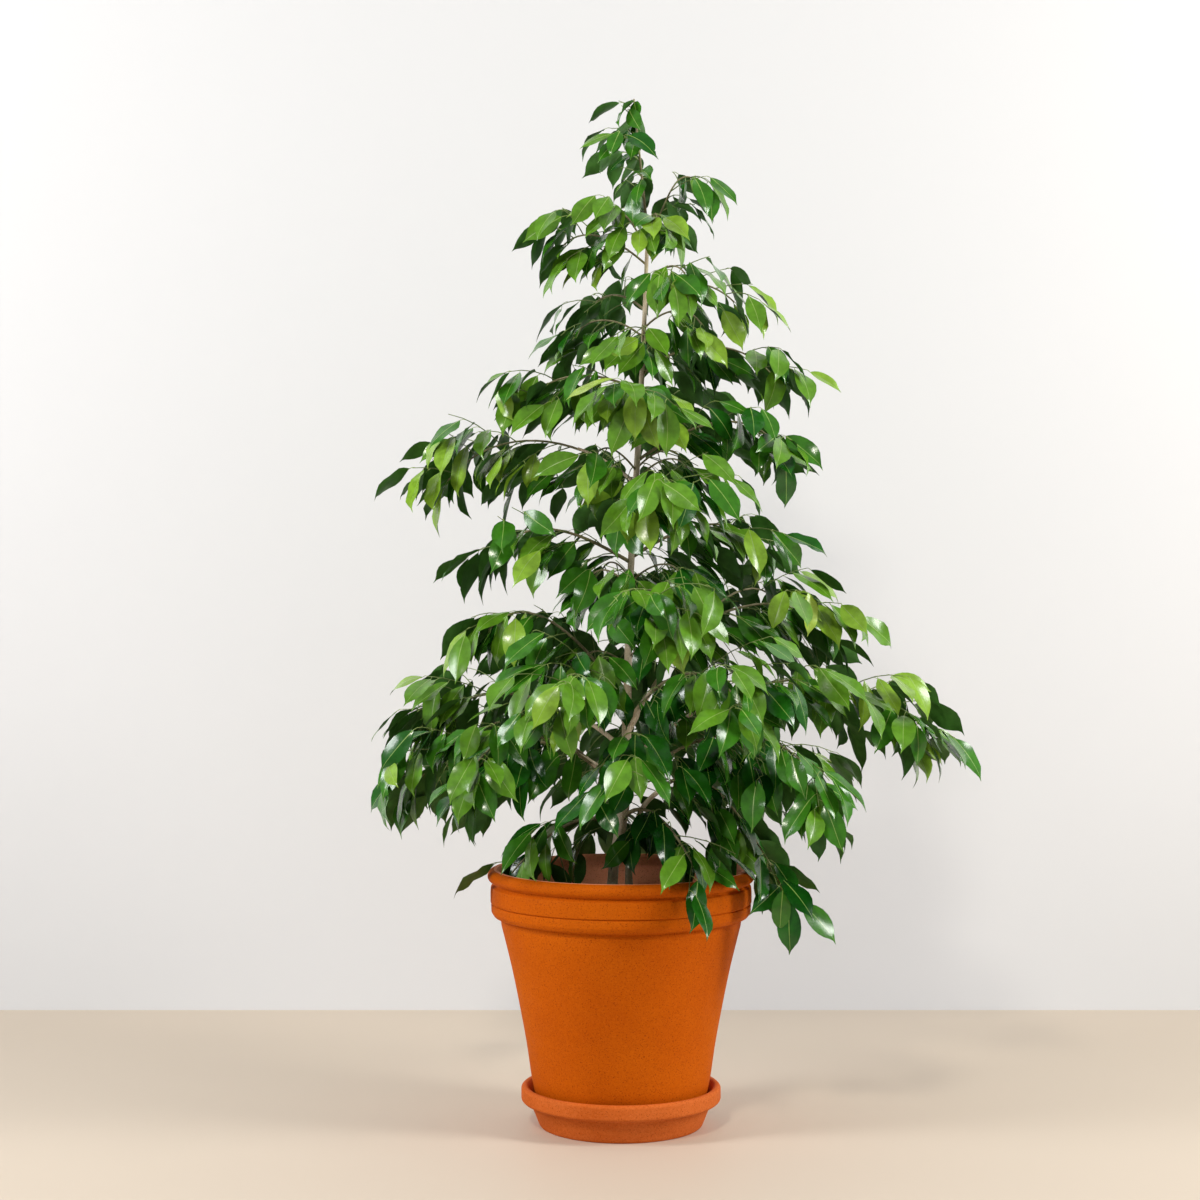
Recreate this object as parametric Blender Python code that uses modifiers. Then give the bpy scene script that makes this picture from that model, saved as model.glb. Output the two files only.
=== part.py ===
"""Potted weeping fig: a young Ficus benjamina in a terracotta pot that stands in its saucer.

Metres, +Z up. The origin is the centre of the saucer's flat underside, so the plant stands on z = 0.
The trunk rises from the soil and carries boughs. Each bough ends where it enters its mass of foliage: one
stem, side twigs that branch by a seeded rule, and hanging leaves, fused into one solid.
Azimuths are degrees seen from above: 0 is the right side, 90 the back, 180 the left and 270 the front.
"""

import math
import random
from collections import namedtuple

import bmesh
import bpy
from mathutils import Vector
from mathutils.bvhtree import BVHTree

GAP = 0.0003  # clearance between pieces that rest on each other

# Pot and saucer: radii and heights
SAUCER_FOOT_RADIUS = 0.106
SAUCER_RIM_RADIUS = 0.131
SAUCER_HEIGHT = 0.053
SAUCER_BAND = 0.021  # height of the thicker band round the saucer's top
SAUCER_WALL = 0.0105  # thickness of that band
SAUCER_FLOOR = 0.0137
POT_FOOT = SAUCER_FLOOR + GAP
POT_BODY = (  # height and outer radius of the pot's flared body, from its rounded foot to the band
    (POT_FOOT, 0.1000),
    (0.0190, 0.1052),
    (0.0400, 0.1125),
    (0.0656, 0.1178),
    (0.1100, 0.1243),
    (0.1627, 0.1342),
    (0.2127, 0.1447),
    (0.2740, 0.1600),
)
POT_BAND_RADIUS = 0.1715
POT_LIP_RADIUS = 0.1755
POT_TOP = 0.336
POT_LIP = 0.0170  # height of the rolled lip
POT_LIP_WALL = 0.0165
POT_WALL = 0.0130
POT_FLOOR = 0.0160
DRAIN_RADIUS = 0.0140
SOIL_TOP = 0.2920
SOIL_FALL = 0.0060  # how much lower the soil is at the wall
ROUND_STEPS = 36

# Trunk: heights, places and radii along its centreline, from the soil to the leader's tip
TRUNK_FOOT = SOIL_TOP + GAP
TRUNK_LINE = (  # height, x, y, radius
    (TRUNK_FOOT, -0.0125, 0.0020, 0.0110),
    (0.3000, -0.0125, 0.0020, 0.0086),
    (0.3120, -0.0115, 0.0020, 0.0072),
    (0.3500, -0.0080, 0.0030, 0.0066),
    (0.4000, 0.0010, 0.0030, 0.0078),
    (0.4350, 0.0040, 0.0010, 0.0084),
    (0.4800, 0.0065, 0.0000, 0.0068),
    (0.5900, 0.0090, 0.0000, 0.0052),
    (0.7200, 0.0125, 0.0010, 0.0045),
    (0.9000, 0.0230, 0.0000, 0.0038),
    (1.0400, 0.0300, 0.0010, 0.0031),
    (1.1700, 0.0350, 0.0000, 0.0023),
)
TRUNK_SIDES = 8
SECOND_STEM_LINE = (  # the thinner stem that shares the pot, and leans out to the right
    (TRUNK_FOOT, 0.0110, -0.0040, 0.0085),
    (0.2990, 0.0110, -0.0040, 0.0068),
    (0.3100, 0.0105, -0.0045, 0.0054),
    (0.3500, 0.0105, -0.0090, 0.0042),
    (0.3850, 0.0160, -0.0130, 0.0036),
    (0.4200, 0.0300, -0.0170, 0.0033),
    (0.4420, 0.0520, -0.0210, 0.0030),
)

# Foliage
LEAF_LENGTH = 0.100
LEAF_WIDTH = 0.53  # share of the length
LEAF_CREASE = 0.030  # how deeply a leaf is creased along its midrib, as a share of its length
LEAF_TOP_SHARE = 0.72  # how long the leaves at the very top are, as a share of the others
LEAF_STEP = 0.024  # between leaves along a twig
TWIG_STEP = 0.048  # between twigs along a stem
TWIG_RADIUS = 0.0013
STEM_TIP_RADIUS = 0.0018
STEM_STEPS = 5
STEM_SIDES = 4
TWIG_STEPS = 1
LEAF_TRIES = 24  # ways that a leaf is offered before its place is left empty
TWIG_TRIES = 16
SPACE_MARGIN = 0.0010  # a leaf's least distance inside its mass's own space
SPACE_DROP = 0.030  # how far below its stem the middle of a mass's space runs
LIMB_MARGIN = 0.0015  # a leaf's least distance from trunk, boughs, pot, soil and other stems
FALL = 58.0  # how steeply a mass's stem points down at its tip, in degrees

# One line for each mass of foliage, with the limb that carries it: the height where it leaves the trunk,
# its azimuth, how far out and how high the stem's tip is, the angle at which it leaves the trunk above the
# horizontal, the length of its longest side twigs, and the share of the way that is bare bough.
# Where the bare share is 0 the mass's own stem starts at the trunk.
Limb = namedtuple("Limb", "name height azimuth reach tip rise spread bare")
LIMBS = (
    Limb("low_left", 0.388, 198, 0.130, 0.335, 40, 0.080, 0.0),
    Limb("low_front", 0.398, 304, 0.150, 0.345, 42, 0.080, 0.0),
    Limb("low_back", 0.404, 102, 0.160, 0.360, 40, 0.090, 0.0),
    Limb("wide_left", 0.444, 184, 0.255, 0.450, 42, 0.100, 0.24),
    Limb("wide_back_left", 0.426, 143, 0.255, 0.480, 46, 0.110, 0.24),
    Limb("wide_back", 0.436, 90, 0.250, 0.460, 46, 0.120, 0.24),
    Limb("wide_back_right", 0.452, 40, 0.280, 0.455, 46, 0.120, 0.24),
    Limb("wide_right", 0.470, 357, 0.374, 0.508, 46, 0.115, 0.24),
    Limb("wide_front_right", 0.432, 326, 0.272, 0.462, 48, 0.110, 0.24),
    Limb("wide_front", 0.446, 266, 0.205, 0.465, 46, 0.100, 0.26),
    Limb("wide_front_left", 0.430, 222, 0.240, 0.475, 44, 0.100, 0.24),
    Limb("middle_far_left", 0.490, 170, 0.250, 0.515, 42, 0.095, 0.24),
    Limb("middle_left", 0.550, 190, 0.165, 0.650, 58, 0.085, 0.28),
    Limb("middle_back_left", 0.520, 120, 0.230, 0.560, 54, 0.110, 0.26),
    Limb("middle_back_right", 0.510, 30, 0.238, 0.672, 58, 0.105, 0.26),
    Limb("middle_right", 0.575, 4, 0.255, 0.640, 52, 0.105, 0.26),
    Limb("middle_front_right", 0.520, 306, 0.225, 0.550, 54, 0.105, 0.26),
    Limb("middle_front_left", 0.535, 246, 0.210, 0.555, 54, 0.100, 0.28),
    Limb("high_front", 0.655, 282, 0.180, 0.665, 34, 0.100, 0.0),
    Limb("high_back", 0.668, 74, 0.190, 0.675, 34, 0.100, 0.0),
    Limb("high_left", 0.738, 194, 0.160, 0.752, 30, 0.090, 0.0),
    Limb("high_right", 0.745, 8, 0.155, 0.760, 34, 0.092, 0.0),
    Limb("upper_front", 0.802, 290, 0.145, 0.812, 34, 0.092, 0.0),
    Limb("upper_back", 0.814, 96, 0.150, 0.828, 34, 0.095, 0.0),
    Limb("upper_left", 0.842, 180, 0.230, 0.845, 42, 0.098, 0.32),
    Limb("upper_right", 0.872, 352, 0.165, 0.892, 36, 0.092, 0.0),
    Limb("top_front", 0.928, 268, 0.120, 0.935, 36, 0.088, 0.0),
    Limb("top_back", 0.942, 70, 0.125, 0.948, 36, 0.088, 0.0),
    Limb("top_left", 0.962, 184, 0.135, 0.948, 30, 0.082, 0.0),
    Limb("top_right", 0.985, 2, 0.155, 0.985, 46, 0.088, 0.0),
    Limb("crown_front", 1.095, 300, 0.080, 1.105, 40, 0.072, 0.0),
    Limb("crown_back", 1.070, 135, 0.085, 1.080, 40, 0.072, 0.0),
    Limb("crown_left", 1.130, 180, 0.092, 1.155, 42, 0.065, 0.0),
    Limb("crown_right", 1.085, 350, 0.100, 1.078, 42, 0.070, 0.0),
    Limb("tip_left", 1.150, 215, 0.045, 1.190, 52, 0.055, 0.0),
    Limb("tip_right", 1.162, 10, 0.050, 1.240, 56, 0.054, 0.0),
)
BOUGH_SIDES = 5
BOUGH_STEPS = 4
BOUGH_RADIUS_SHARE = 0.62  # of the trunk's radius where the bough leaves it
BOUGH_RADIUS_MOST = 0.0034
BOUGH_TIP_SHARE = 0.75  # of its own radius at its root
LEADER_TOP = 1.348  # the highest point of the leader's own mass of leaves
LEADER_LEAN = -0.018
LEADER_SPREAD = 0.056
SECOND_STEM_REACH = 0.208
SECOND_STEM_TIP = 0.332
SECOND_STEM_AZIMUTH = 346
SECOND_STEM_SPREAD = 0.080

UP = Vector((0, 0, 1))


# ---------------------------------------------------------------- scene and materials
def clear_scene():
    for old in list(bpy.data.objects):
        bpy.data.objects.remove(old)


def material(name, colour, roughness):
    made = bpy.data.materials.new(name)
    made.use_nodes = True
    shader = made.node_tree.nodes["Principled BSDF"]
    shader.inputs["Base Color"].default_value = (*colour, 1.0)
    shader.inputs["Roughness"].default_value = roughness
    shader.inputs["Metallic"].default_value = 0.0
    made.diffuse_color = (*colour, 1.0)
    return made


def collection(name, hidden=False):
    made = bpy.data.collections.new(name)
    made.hide_render = hidden
    bpy.context.scene.collection.children.link(made)
    return made


def object_of(name, data, home, finish=None):
    made = bpy.data.objects.new(name, data)
    home.objects.link(made)
    if finish:
        data.materials.append(finish)
    return made


def evaluated_mesh(obj):
    graph = bpy.context.evaluated_depsgraph_get()
    return bpy.data.meshes.new_from_object(obj.evaluated_get(graph))


# ---------------------------------------------------------------- turned pieces
def turned(name, profile, home, finish):
    """A solid turned about Z from (radius, height) points, listed down its outer side and back up its inner."""
    mesh = bpy.data.meshes.new(name)
    edges = [(i, (i + 1) % len(profile)) for i in range(len(profile))]
    if profile[0][0] == 0 and profile[-1][0] == 0:
        edges.pop()  # both ends are on the axis, which closes the shape
    mesh.from_pydata([(r, 0, z) for r, z in profile], edges, [])
    obj = object_of(name, mesh, home, finish)
    screw = obj.modifiers.new("turn", "SCREW")
    screw.steps = screw.render_steps = ROUND_STEPS
    screw.use_merge_vertices = True
    screw.merge_threshold = 0.00001
    screw.use_smooth_shade = True
    return obj


def make_saucer(home, finish):
    band_foot = SAUCER_HEIGHT - SAUCER_BAND
    inner = SAUCER_RIM_RADIUS - SAUCER_WALL
    profile = [
        (0, SAUCER_FLOOR),
        (0.1035, SAUCER_FLOOR),
        (0.1090, 0.0240),
        (inner, SAUCER_HEIGHT - 0.003),
        (inner + 0.003, SAUCER_HEIGHT),
        (SAUCER_RIM_RADIUS - 0.003, SAUCER_HEIGHT),
        (SAUCER_RIM_RADIUS, SAUCER_HEIGHT - 0.003),
        (SAUCER_RIM_RADIUS, band_foot + 0.003),
        (SAUCER_RIM_RADIUS - 0.003, band_foot),
        (SAUCER_RIM_RADIUS - 0.012, band_foot - 0.001),
        (SAUCER_FOOT_RADIUS + 0.002, 0.003),
        (SAUCER_FOOT_RADIUS, 0),
        (0, 0),
    ]
    return turned("saucer", profile, home, finish)


def pot_inside(grow=0.0):
    """The pot's inner wall from its floor up to the band, as (radius, height) points."""
    floor = POT_FOOT + POT_FLOOR
    above = [(radius - POT_WALL - grow, z) for z, radius in POT_BODY if z > floor]
    return [(above[0][0] - 0.004, floor), *above]


def make_pot(home, finish):
    lip_foot = POT_TOP - POT_LIP
    band_foot = POT_BODY[-1][0]
    groove = band_foot + 0.4 * (lip_foot - band_foot)
    outside = [
        (POT_LIP_RADIUS - 0.005, POT_TOP),
        (POT_LIP_RADIUS, POT_TOP - 0.006),
        (POT_LIP_RADIUS, lip_foot + 0.005),
        (POT_LIP_RADIUS - 0.003, lip_foot),
        (POT_BAND_RADIUS - 0.001, lip_foot - 0.001),
        (POT_BAND_RADIUS, groove + 0.002),
        (POT_BAND_RADIUS - 0.002, groove),
        (POT_BAND_RADIUS - 0.001, groove - 0.002),
        (POT_BAND_RADIUS - 0.004, band_foot + 0.003),
    ]
    outside += [(radius, z) for z, radius in reversed(POT_BODY)]
    inside = [(DRAIN_RADIUS, POT_FOOT), (DRAIN_RADIUS, POT_FOOT + POT_FLOOR), *pot_inside()]
    inside += [(POT_LIP_RADIUS - POT_LIP_WALL, lip_foot), (POT_LIP_RADIUS - POT_LIP_WALL + 0.004, POT_TOP)]
    return turned("pot", outside + inside, home, finish)


def make_soil(home, finish):
    """The root ball and its soil, which fill the pot to just under the rim."""
    lip_foot = POT_TOP - POT_LIP
    band_foot = POT_BODY[-1][0]
    wall = pot_inside(2 * GAP)
    edge = SOIL_TOP - SOIL_FALL
    above = (edge - band_foot) / (lip_foot - band_foot)
    rim = wall[-1][0] + (POT_LIP_RADIUS - POT_LIP_WALL - 2 * GAP - wall[-1][0]) * above
    profile = [(0, SOIL_TOP), (0.060, SOIL_TOP), (rim, edge)]
    profile += [(radius, max(z, POT_FOOT + POT_FLOOR + GAP)) for radius, z in reversed(wall)]
    profile += [(0, POT_FOOT + POT_FLOOR + GAP)]
    return turned("soil", profile, home, finish)


# ---------------------------------------------------------------- limbs
def along(line, height):
    """(centre, radius) of a limb listed by height, eased between its stations."""
    height = min(max(height, line[0][0]), line[-1][0])
    for low, high in zip(line, line[1:]):
        if height <= high[0]:
            share = (height - low[0]) / (high[0] - low[0])
            x, y, radius = (low[k] + (high[k] - low[k]) * share for k in (1, 2, 3))
            return Vector((x, y, height)), radius
    return None


def bezier(corners, t):
    a, b, c, d = corners
    s = 1 - t
    return a * s**3 + b * 3 * s * s * t + c * 3 * s * t * t + d * t**3


def heading(azimuth, rise=0.0):
    a, e = math.radians(azimuth), math.radians(rise)
    return Vector((math.cos(a) * math.cos(e), math.sin(a) * math.cos(e), math.sin(e)))


def limb_corners(start, azimuth, reach, tip, rise):
    """The arching line of a limb: it leaves at its rise, and its tip weeps."""
    end = Vector((start.x, start.y, tip)) + heading(azimuth) * reach
    pull = 0.42 * (end - start).length
    return start, start + heading(azimuth, rise) * pull, end - heading(azimuth, -FALL) * pull, end


def points_on(corners, first, last, steps):
    return [bezier(corners, first + (last - first) * k / steps) for k in range(steps + 1)]


def start_clear(line, carrier, radius):
    """Starts a line a gap beyond the tip of the limb that carries it, whichever way it bends there."""
    ahead = (carrier[-1] - carrier[-2]).normalized()
    bend = ahead.angle((line[1] - carrier[-1]).normalized())
    line[0] = carrier[-1] + ahead * (GAP + 1.1 * radius * math.sin(bend))


def tube(name, points, radii, sides, home, finish=None):
    """A tapering limb: a poly curve with a round bevel of the given number of sides, made a mesh."""
    ring = bpy.data.curves.new(name + "_ring", "CURVE")
    ring.dimensions = "2D"
    outline = ring.splines.new("POLY")
    outline.points.add(sides - 1)
    for k, point in enumerate(outline.points):
        turn = 2 * math.pi * k / sides
        point.co = (math.cos(turn), math.sin(turn), 0, 1)
    outline.use_cyclic_u = True
    bevel = bpy.data.objects.new(name + "_ring", ring)
    line = bpy.data.curves.new(name, "CURVE")
    line.dimensions = "3D"
    line.bevel_mode = "OBJECT"
    line.bevel_object = bevel
    line.use_fill_caps = True
    line.twist_mode = "MINIMUM"
    spline = line.splines.new("POLY")
    spline.points.add(len(points) - 1)
    for point, place, radius in zip(spline.points, points, radii):
        point.co = (*place, 1)
        point.radius = radius
    curve = object_of(name, line, home)
    mesh = evaluated_mesh(curve)
    bpy.data.objects.remove(curve)
    bpy.data.objects.remove(bevel)
    bm = bmesh.new()
    bm.from_mesh(mesh)
    bmesh.ops.remove_doubles(bm, verts=bm.verts, dist=0.00001)
    bmesh.ops.recalc_face_normals(bm, faces=bm.faces)
    bm.to_mesh(mesh)
    bm.free()
    mesh.name = name
    made = object_of(name, mesh, home, finish)
    mesh.shade_smooth()
    return made


def listed_tube(name, line, home, finish=None, grow=0.0):
    points = [Vector((x, y, z)) for z, x, y, _ in line]
    radii = [radius + grow for *_, radius in line]
    return tube(name, points, radii, TRUNK_SIDES, home, finish)


def cut_clear(obj, cutter):
    """Cuts a limb's root to the surface of what carries it, a gap away."""
    cut = obj.modifiers.new("clear", "BOOLEAN")
    cut.operation = "DIFFERENCE"
    cut.object = cutter
    mesh = evaluated_mesh(obj)
    obj.modifiers.clear()
    obj.data = mesh


# ---------------------------------------------------------------- foliage
def tree_of(obj, margin):
    """A limb's triangles, moved out by a margin."""
    bm = bmesh.new()
    bm.from_mesh(evaluated_mesh(obj))
    bm.normal_update()
    points = [v.co + v.normal * margin for v in bm.verts]
    faces = [[v.index for v in f.verts] for f in bm.faces]
    bm.free()
    return BVHTree.FromPolygons(points, faces)


class Spaces:
    """Each mass keeps to the space that is nearer to its own line than to any other mass's."""

    def __init__(self, lines):
        self.lines = {name: [p - UP * SPACE_DROP for p in line] for name, line in lines.items()}

    def distance(self, name, place):
        best = 1e9
        line = self.lines[name]
        for a, b in zip(line, line[1:]):
            span = b - a
            share = min(1.0, max(0.0, (place - a).dot(span) / span.length_squared))
            best = min(best, (a + span * share - place).length)
        return best

    def holds(self, name, places):
        for place in places:
            own = self.distance(name, place) + 2 * SPACE_MARGIN
            if any(self.distance(other, place) < own for other in self.lines if other != name):
                return False
        return True


Leaf = namedtuple("Leaf", "root along across face length")


def leaf_points(leaf):
    """Root, widest pair and tip of a leaf: a thin solid blade, creased along its midrib."""
    half = 0.5 * LEAF_WIDTH * leaf.length
    middle = leaf.root + leaf.along * (0.46 * leaf.length) - leaf.face * (LEAF_CREASE * leaf.length)
    return [
        leaf.root,
        middle + leaf.across * half,
        middle - leaf.across * half,
        leaf.root + leaf.along * leaf.length,
    ]


LEAF_FACES = ((0, 1, 3), (0, 3, 2), (0, 2, 1), (1, 2, 3))


def blade_tree(leaf):
    """The leaf's blade without its root, to find what it would touch."""
    _, left, right, tip = leaf_points(leaf)
    return BVHTree.FromPolygons([leaf.root + leaf.along * 0.006, left, right, tip], LEAF_FACES)


def twig_tree(points):
    """A twig without its root."""
    start = points[0] + (points[1] - points[0]).normalized() * 0.006
    outline = []
    for place in [start, *points[1:]]:
        for turn in (0, 120, 240):
            outline.append(place + Vector((math.cos(math.radians(turn)), math.sin(math.radians(turn)), 0)) * TWIG_RADIUS)
    faces = []
    for k in range(len(points) - 1):
        for j in range(3):
            a, b = 3 * k + j, 3 * k + (j + 1) % 3
            faces.append((a, b, b + 3, a + 3))
    return BVHTree.FromPolygons(outline, faces)


def hanging_leaf(rng, root, heading_out, side, length):
    """A leaf on a twig: it springs out to one side and hangs, with its upper face turned out and up."""
    out = Vector((heading_out.x, heading_out.y, 0))
    if out.length < 0.05:
        out = heading(rng.uniform(0, 360))
    out.normalize()
    sideways = out.cross(UP) * side
    along_leaf = out * rng.uniform(-0.1, 0.8) + sideways * rng.uniform(-0.2, 0.9) - UP * rng.uniform(0.3, 1.3)
    along_leaf.normalize()
    face = out * rng.uniform(0.6, 1.0) + UP * rng.uniform(0.2, 0.6) + sideways * rng.uniform(-0.5, 0.7)
    across = along_leaf.cross(face).normalized()
    face = across.cross(along_leaf)
    return Leaf(root, along_leaf, across, face, length)


def leaf_size(height):
    """Leaves are smaller towards the top of the plant."""
    share = min(1.0, max(0.0, (height - 0.95) / 0.30))
    return LEAF_LENGTH * (1 + (LEAF_TOP_SHARE - 1) * share)


def place_along(line, distance):
    """The place and direction at a distance along a line of points."""
    for a, b in zip(line, line[1:]):
        step = (b - a).length
        if distance <= step or b is line[-1]:
            return a + (b - a) * (distance / step), (b - a).normalized()
        distance -= step
    return None


def line_length(line):
    return sum((b - a).length for a, b in zip(line, line[1:]))


def room(place, taken):
    return min(((other - place).length_squared for other in taken), default=1.0)


def grow(seed, stem, spread, holds, solids, taken):
    """Twigs and leaves along a stem, by the seeded rule: twigs leave it left and right in turn, bend down and
    bear leaves left and right in turn. Each is offered a few ways and takes the one with the most room; one
    that would leave the space or touch a limb, a twig or another leaf is skipped."""
    rng = random.Random(seed)
    twigs, leaves = [], []
    grown = []

    def free(tree):
        return not any(tree.overlap(other) for other in solids) and not any(tree.overlap(o) for o in grown)

    def add_leaf(root, direction, side):
        best = None
        for _ in range(LEAF_TRIES):
            leaf = hanging_leaf(rng, root, direction, side, leaf_size(root.z) * rng.uniform(0.85, 1.08))
            corners = leaf_points(leaf)
            if not holds(corners):
                continue
            tree = blade_tree(leaf)
            if free(tree):
                middle = leaf.root + leaf.along * (0.5 * leaf.length)
                score = room(middle, taken)
                if best is None or score > best[0]:
                    best = (score, leaf, tree, middle)
        if best:
            leaves.append(best[1])
            grown.append(best[2])
            taken.append(best[3])

    total = line_length(stem)
    side = rng.choice((-1, 1))
    count = max(3, round(total / TWIG_STEP))
    step = total / (count + 0.4)
    roots = [step * (k + rng.uniform(0.35, 0.65)) for k in range(count)]
    for distance in roots:
        root, ahead = place_along(stem, distance)
        share = distance / total
        across = ahead.cross(UP).normalized() * side
        above = across.cross(ahead) * side
        full = spread * math.sin(math.pi * (0.22 + 0.62 * share)) ** 0.8
        best = None
        for attempt in range(TWIG_TRIES):
            angle = math.radians(rng.uniform(40, 78))
            lift = rng.uniform(-2.2, 1.2)
            direction = ahead * math.cos(angle) + (across + above * lift).normalized() * math.sin(angle)
            length = full * rng.uniform(0.8, 1.1) * (1 - 0.5 * attempt / TWIG_TRIES)
            points = [root]
            for _ in range(TWIG_STEPS):
                points.append(points[-1] + direction * (length / TWIG_STEPS))
                direction = (direction - UP * 0.35).normalized()
            if holds(points[1:]):
                tree = twig_tree(points)
                if free(tree):
                    score = room(points[-1], taken) * length
                    if best is None or score > best[0]:
                        best = (score, points, tree)
        if best:
            points = best[1]
            twigs.append(points)
            grown.append(best[2])
        side = -side
    grown_stem = twig_tree(stem)
    grown.append(grown_stem)
    for points in twigs:
        length = line_length(points)
        turn = rng.choice((-1, 1))
        place = 0.42 * LEAF_STEP + 0.2 * length
        while place < length - 0.4 * LEAF_STEP:
            root, ahead = place_along(points, place)
            add_leaf(root, ahead, turn)
            turn = -turn
            place += LEAF_STEP * rng.uniform(0.85, 1.15)
        root, ahead = place_along(points, length - TWIG_RADIUS)
        add_leaf(root, ahead, turn)
    for distance in roots:
        side = -side
        root, ahead = place_along(stem, min(total - 0.004, distance + 0.5 * step))
        add_leaf(root, ahead, side)
    for back in (TWIG_RADIUS, 0.5 * LEAF_STEP):
        root, ahead = place_along(stem, total - back)
        add_leaf(root, ahead, side)
        side = -side
    return twigs, leaves


def leaf_object(name, leaf, home):
    mesh = bpy.data.meshes.new(name)
    bm = bmesh.new()
    for place in leaf_points(leaf):
        bm.verts.new(place)
    bmesh.ops.convex_hull(bm, input=bm.verts)
    bmesh.ops.recalc_face_normals(bm, faces=bm.faces)
    bm.to_mesh(mesh)
    bm.free()
    return object_of(name, mesh, home)


def outer_shell(mesh):
    """Keeps the largest shell of a fused mesh: a sealed hollow is filled, and a loose scrap is dropped."""
    bm = bmesh.new()
    bm.from_mesh(mesh)
    bmesh.ops.triangulate(bm, faces=bm.faces)
    left = set(bm.faces)
    shells = []
    while left:
        todo = [left.pop()]
        shell = []
        while todo:
            face = todo.pop()
            shell.append(face)
            for edge in face.edges:
                for other in edge.link_faces:
                    if other in left:
                        left.remove(other)
                        todo.append(other)
        volume = sum(f.verts[0].co.dot(f.verts[1].co.cross(f.verts[2].co)) for f in shell) / 6
        shells.append((volume, shell))
    shells.sort(key=lambda entry: -entry[0])
    scraps = [face for _, shell in shells[1:] for face in shell]
    if scraps:
        bmesh.ops.delete(bm, geom=scraps, context="FACES")
    bm.to_mesh(mesh)
    bm.free()


def fused_mass(name, stem, root_radius, twigs, leaves, home, finish, cutter=None):
    """One solid: the stem with its twigs and leaves joined by one Boolean union on their collection."""
    count = len(stem) - 1
    radii = [root_radius + (STEM_TIP_RADIUS - root_radius) * k / count for k in range(count + 1)]
    mass = tube(name, stem, radii, STEM_SIDES, home, finish)
    if cutter:
        cut_clear(mass, cutter)
    pieces = collection(name + "_pieces")
    for k, points in enumerate(twigs):
        steps = len(points) - 1
        radii = [TWIG_RADIUS * (1 - 0.3 * j / steps) for j in range(steps + 1)]
        tube(f"{name}_twig_{k}", points, radii, 3, pieces)
    for k, leaf in enumerate(leaves):
        leaf_object(f"{name}_leaf_{k}", leaf, pieces)
    join = mass.modifiers.new("join", "BOOLEAN")
    join.operation = "UNION"
    join.operand_type = "COLLECTION"
    join.collection = pieces
    mesh = evaluated_mesh(mass)
    mass.modifiers.clear()
    mass.data = mesh
    for piece in list(pieces.objects):
        bpy.data.objects.remove(piece)
    bpy.data.collections.remove(pieces)
    outer_shell(mesh)
    return mass


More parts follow.
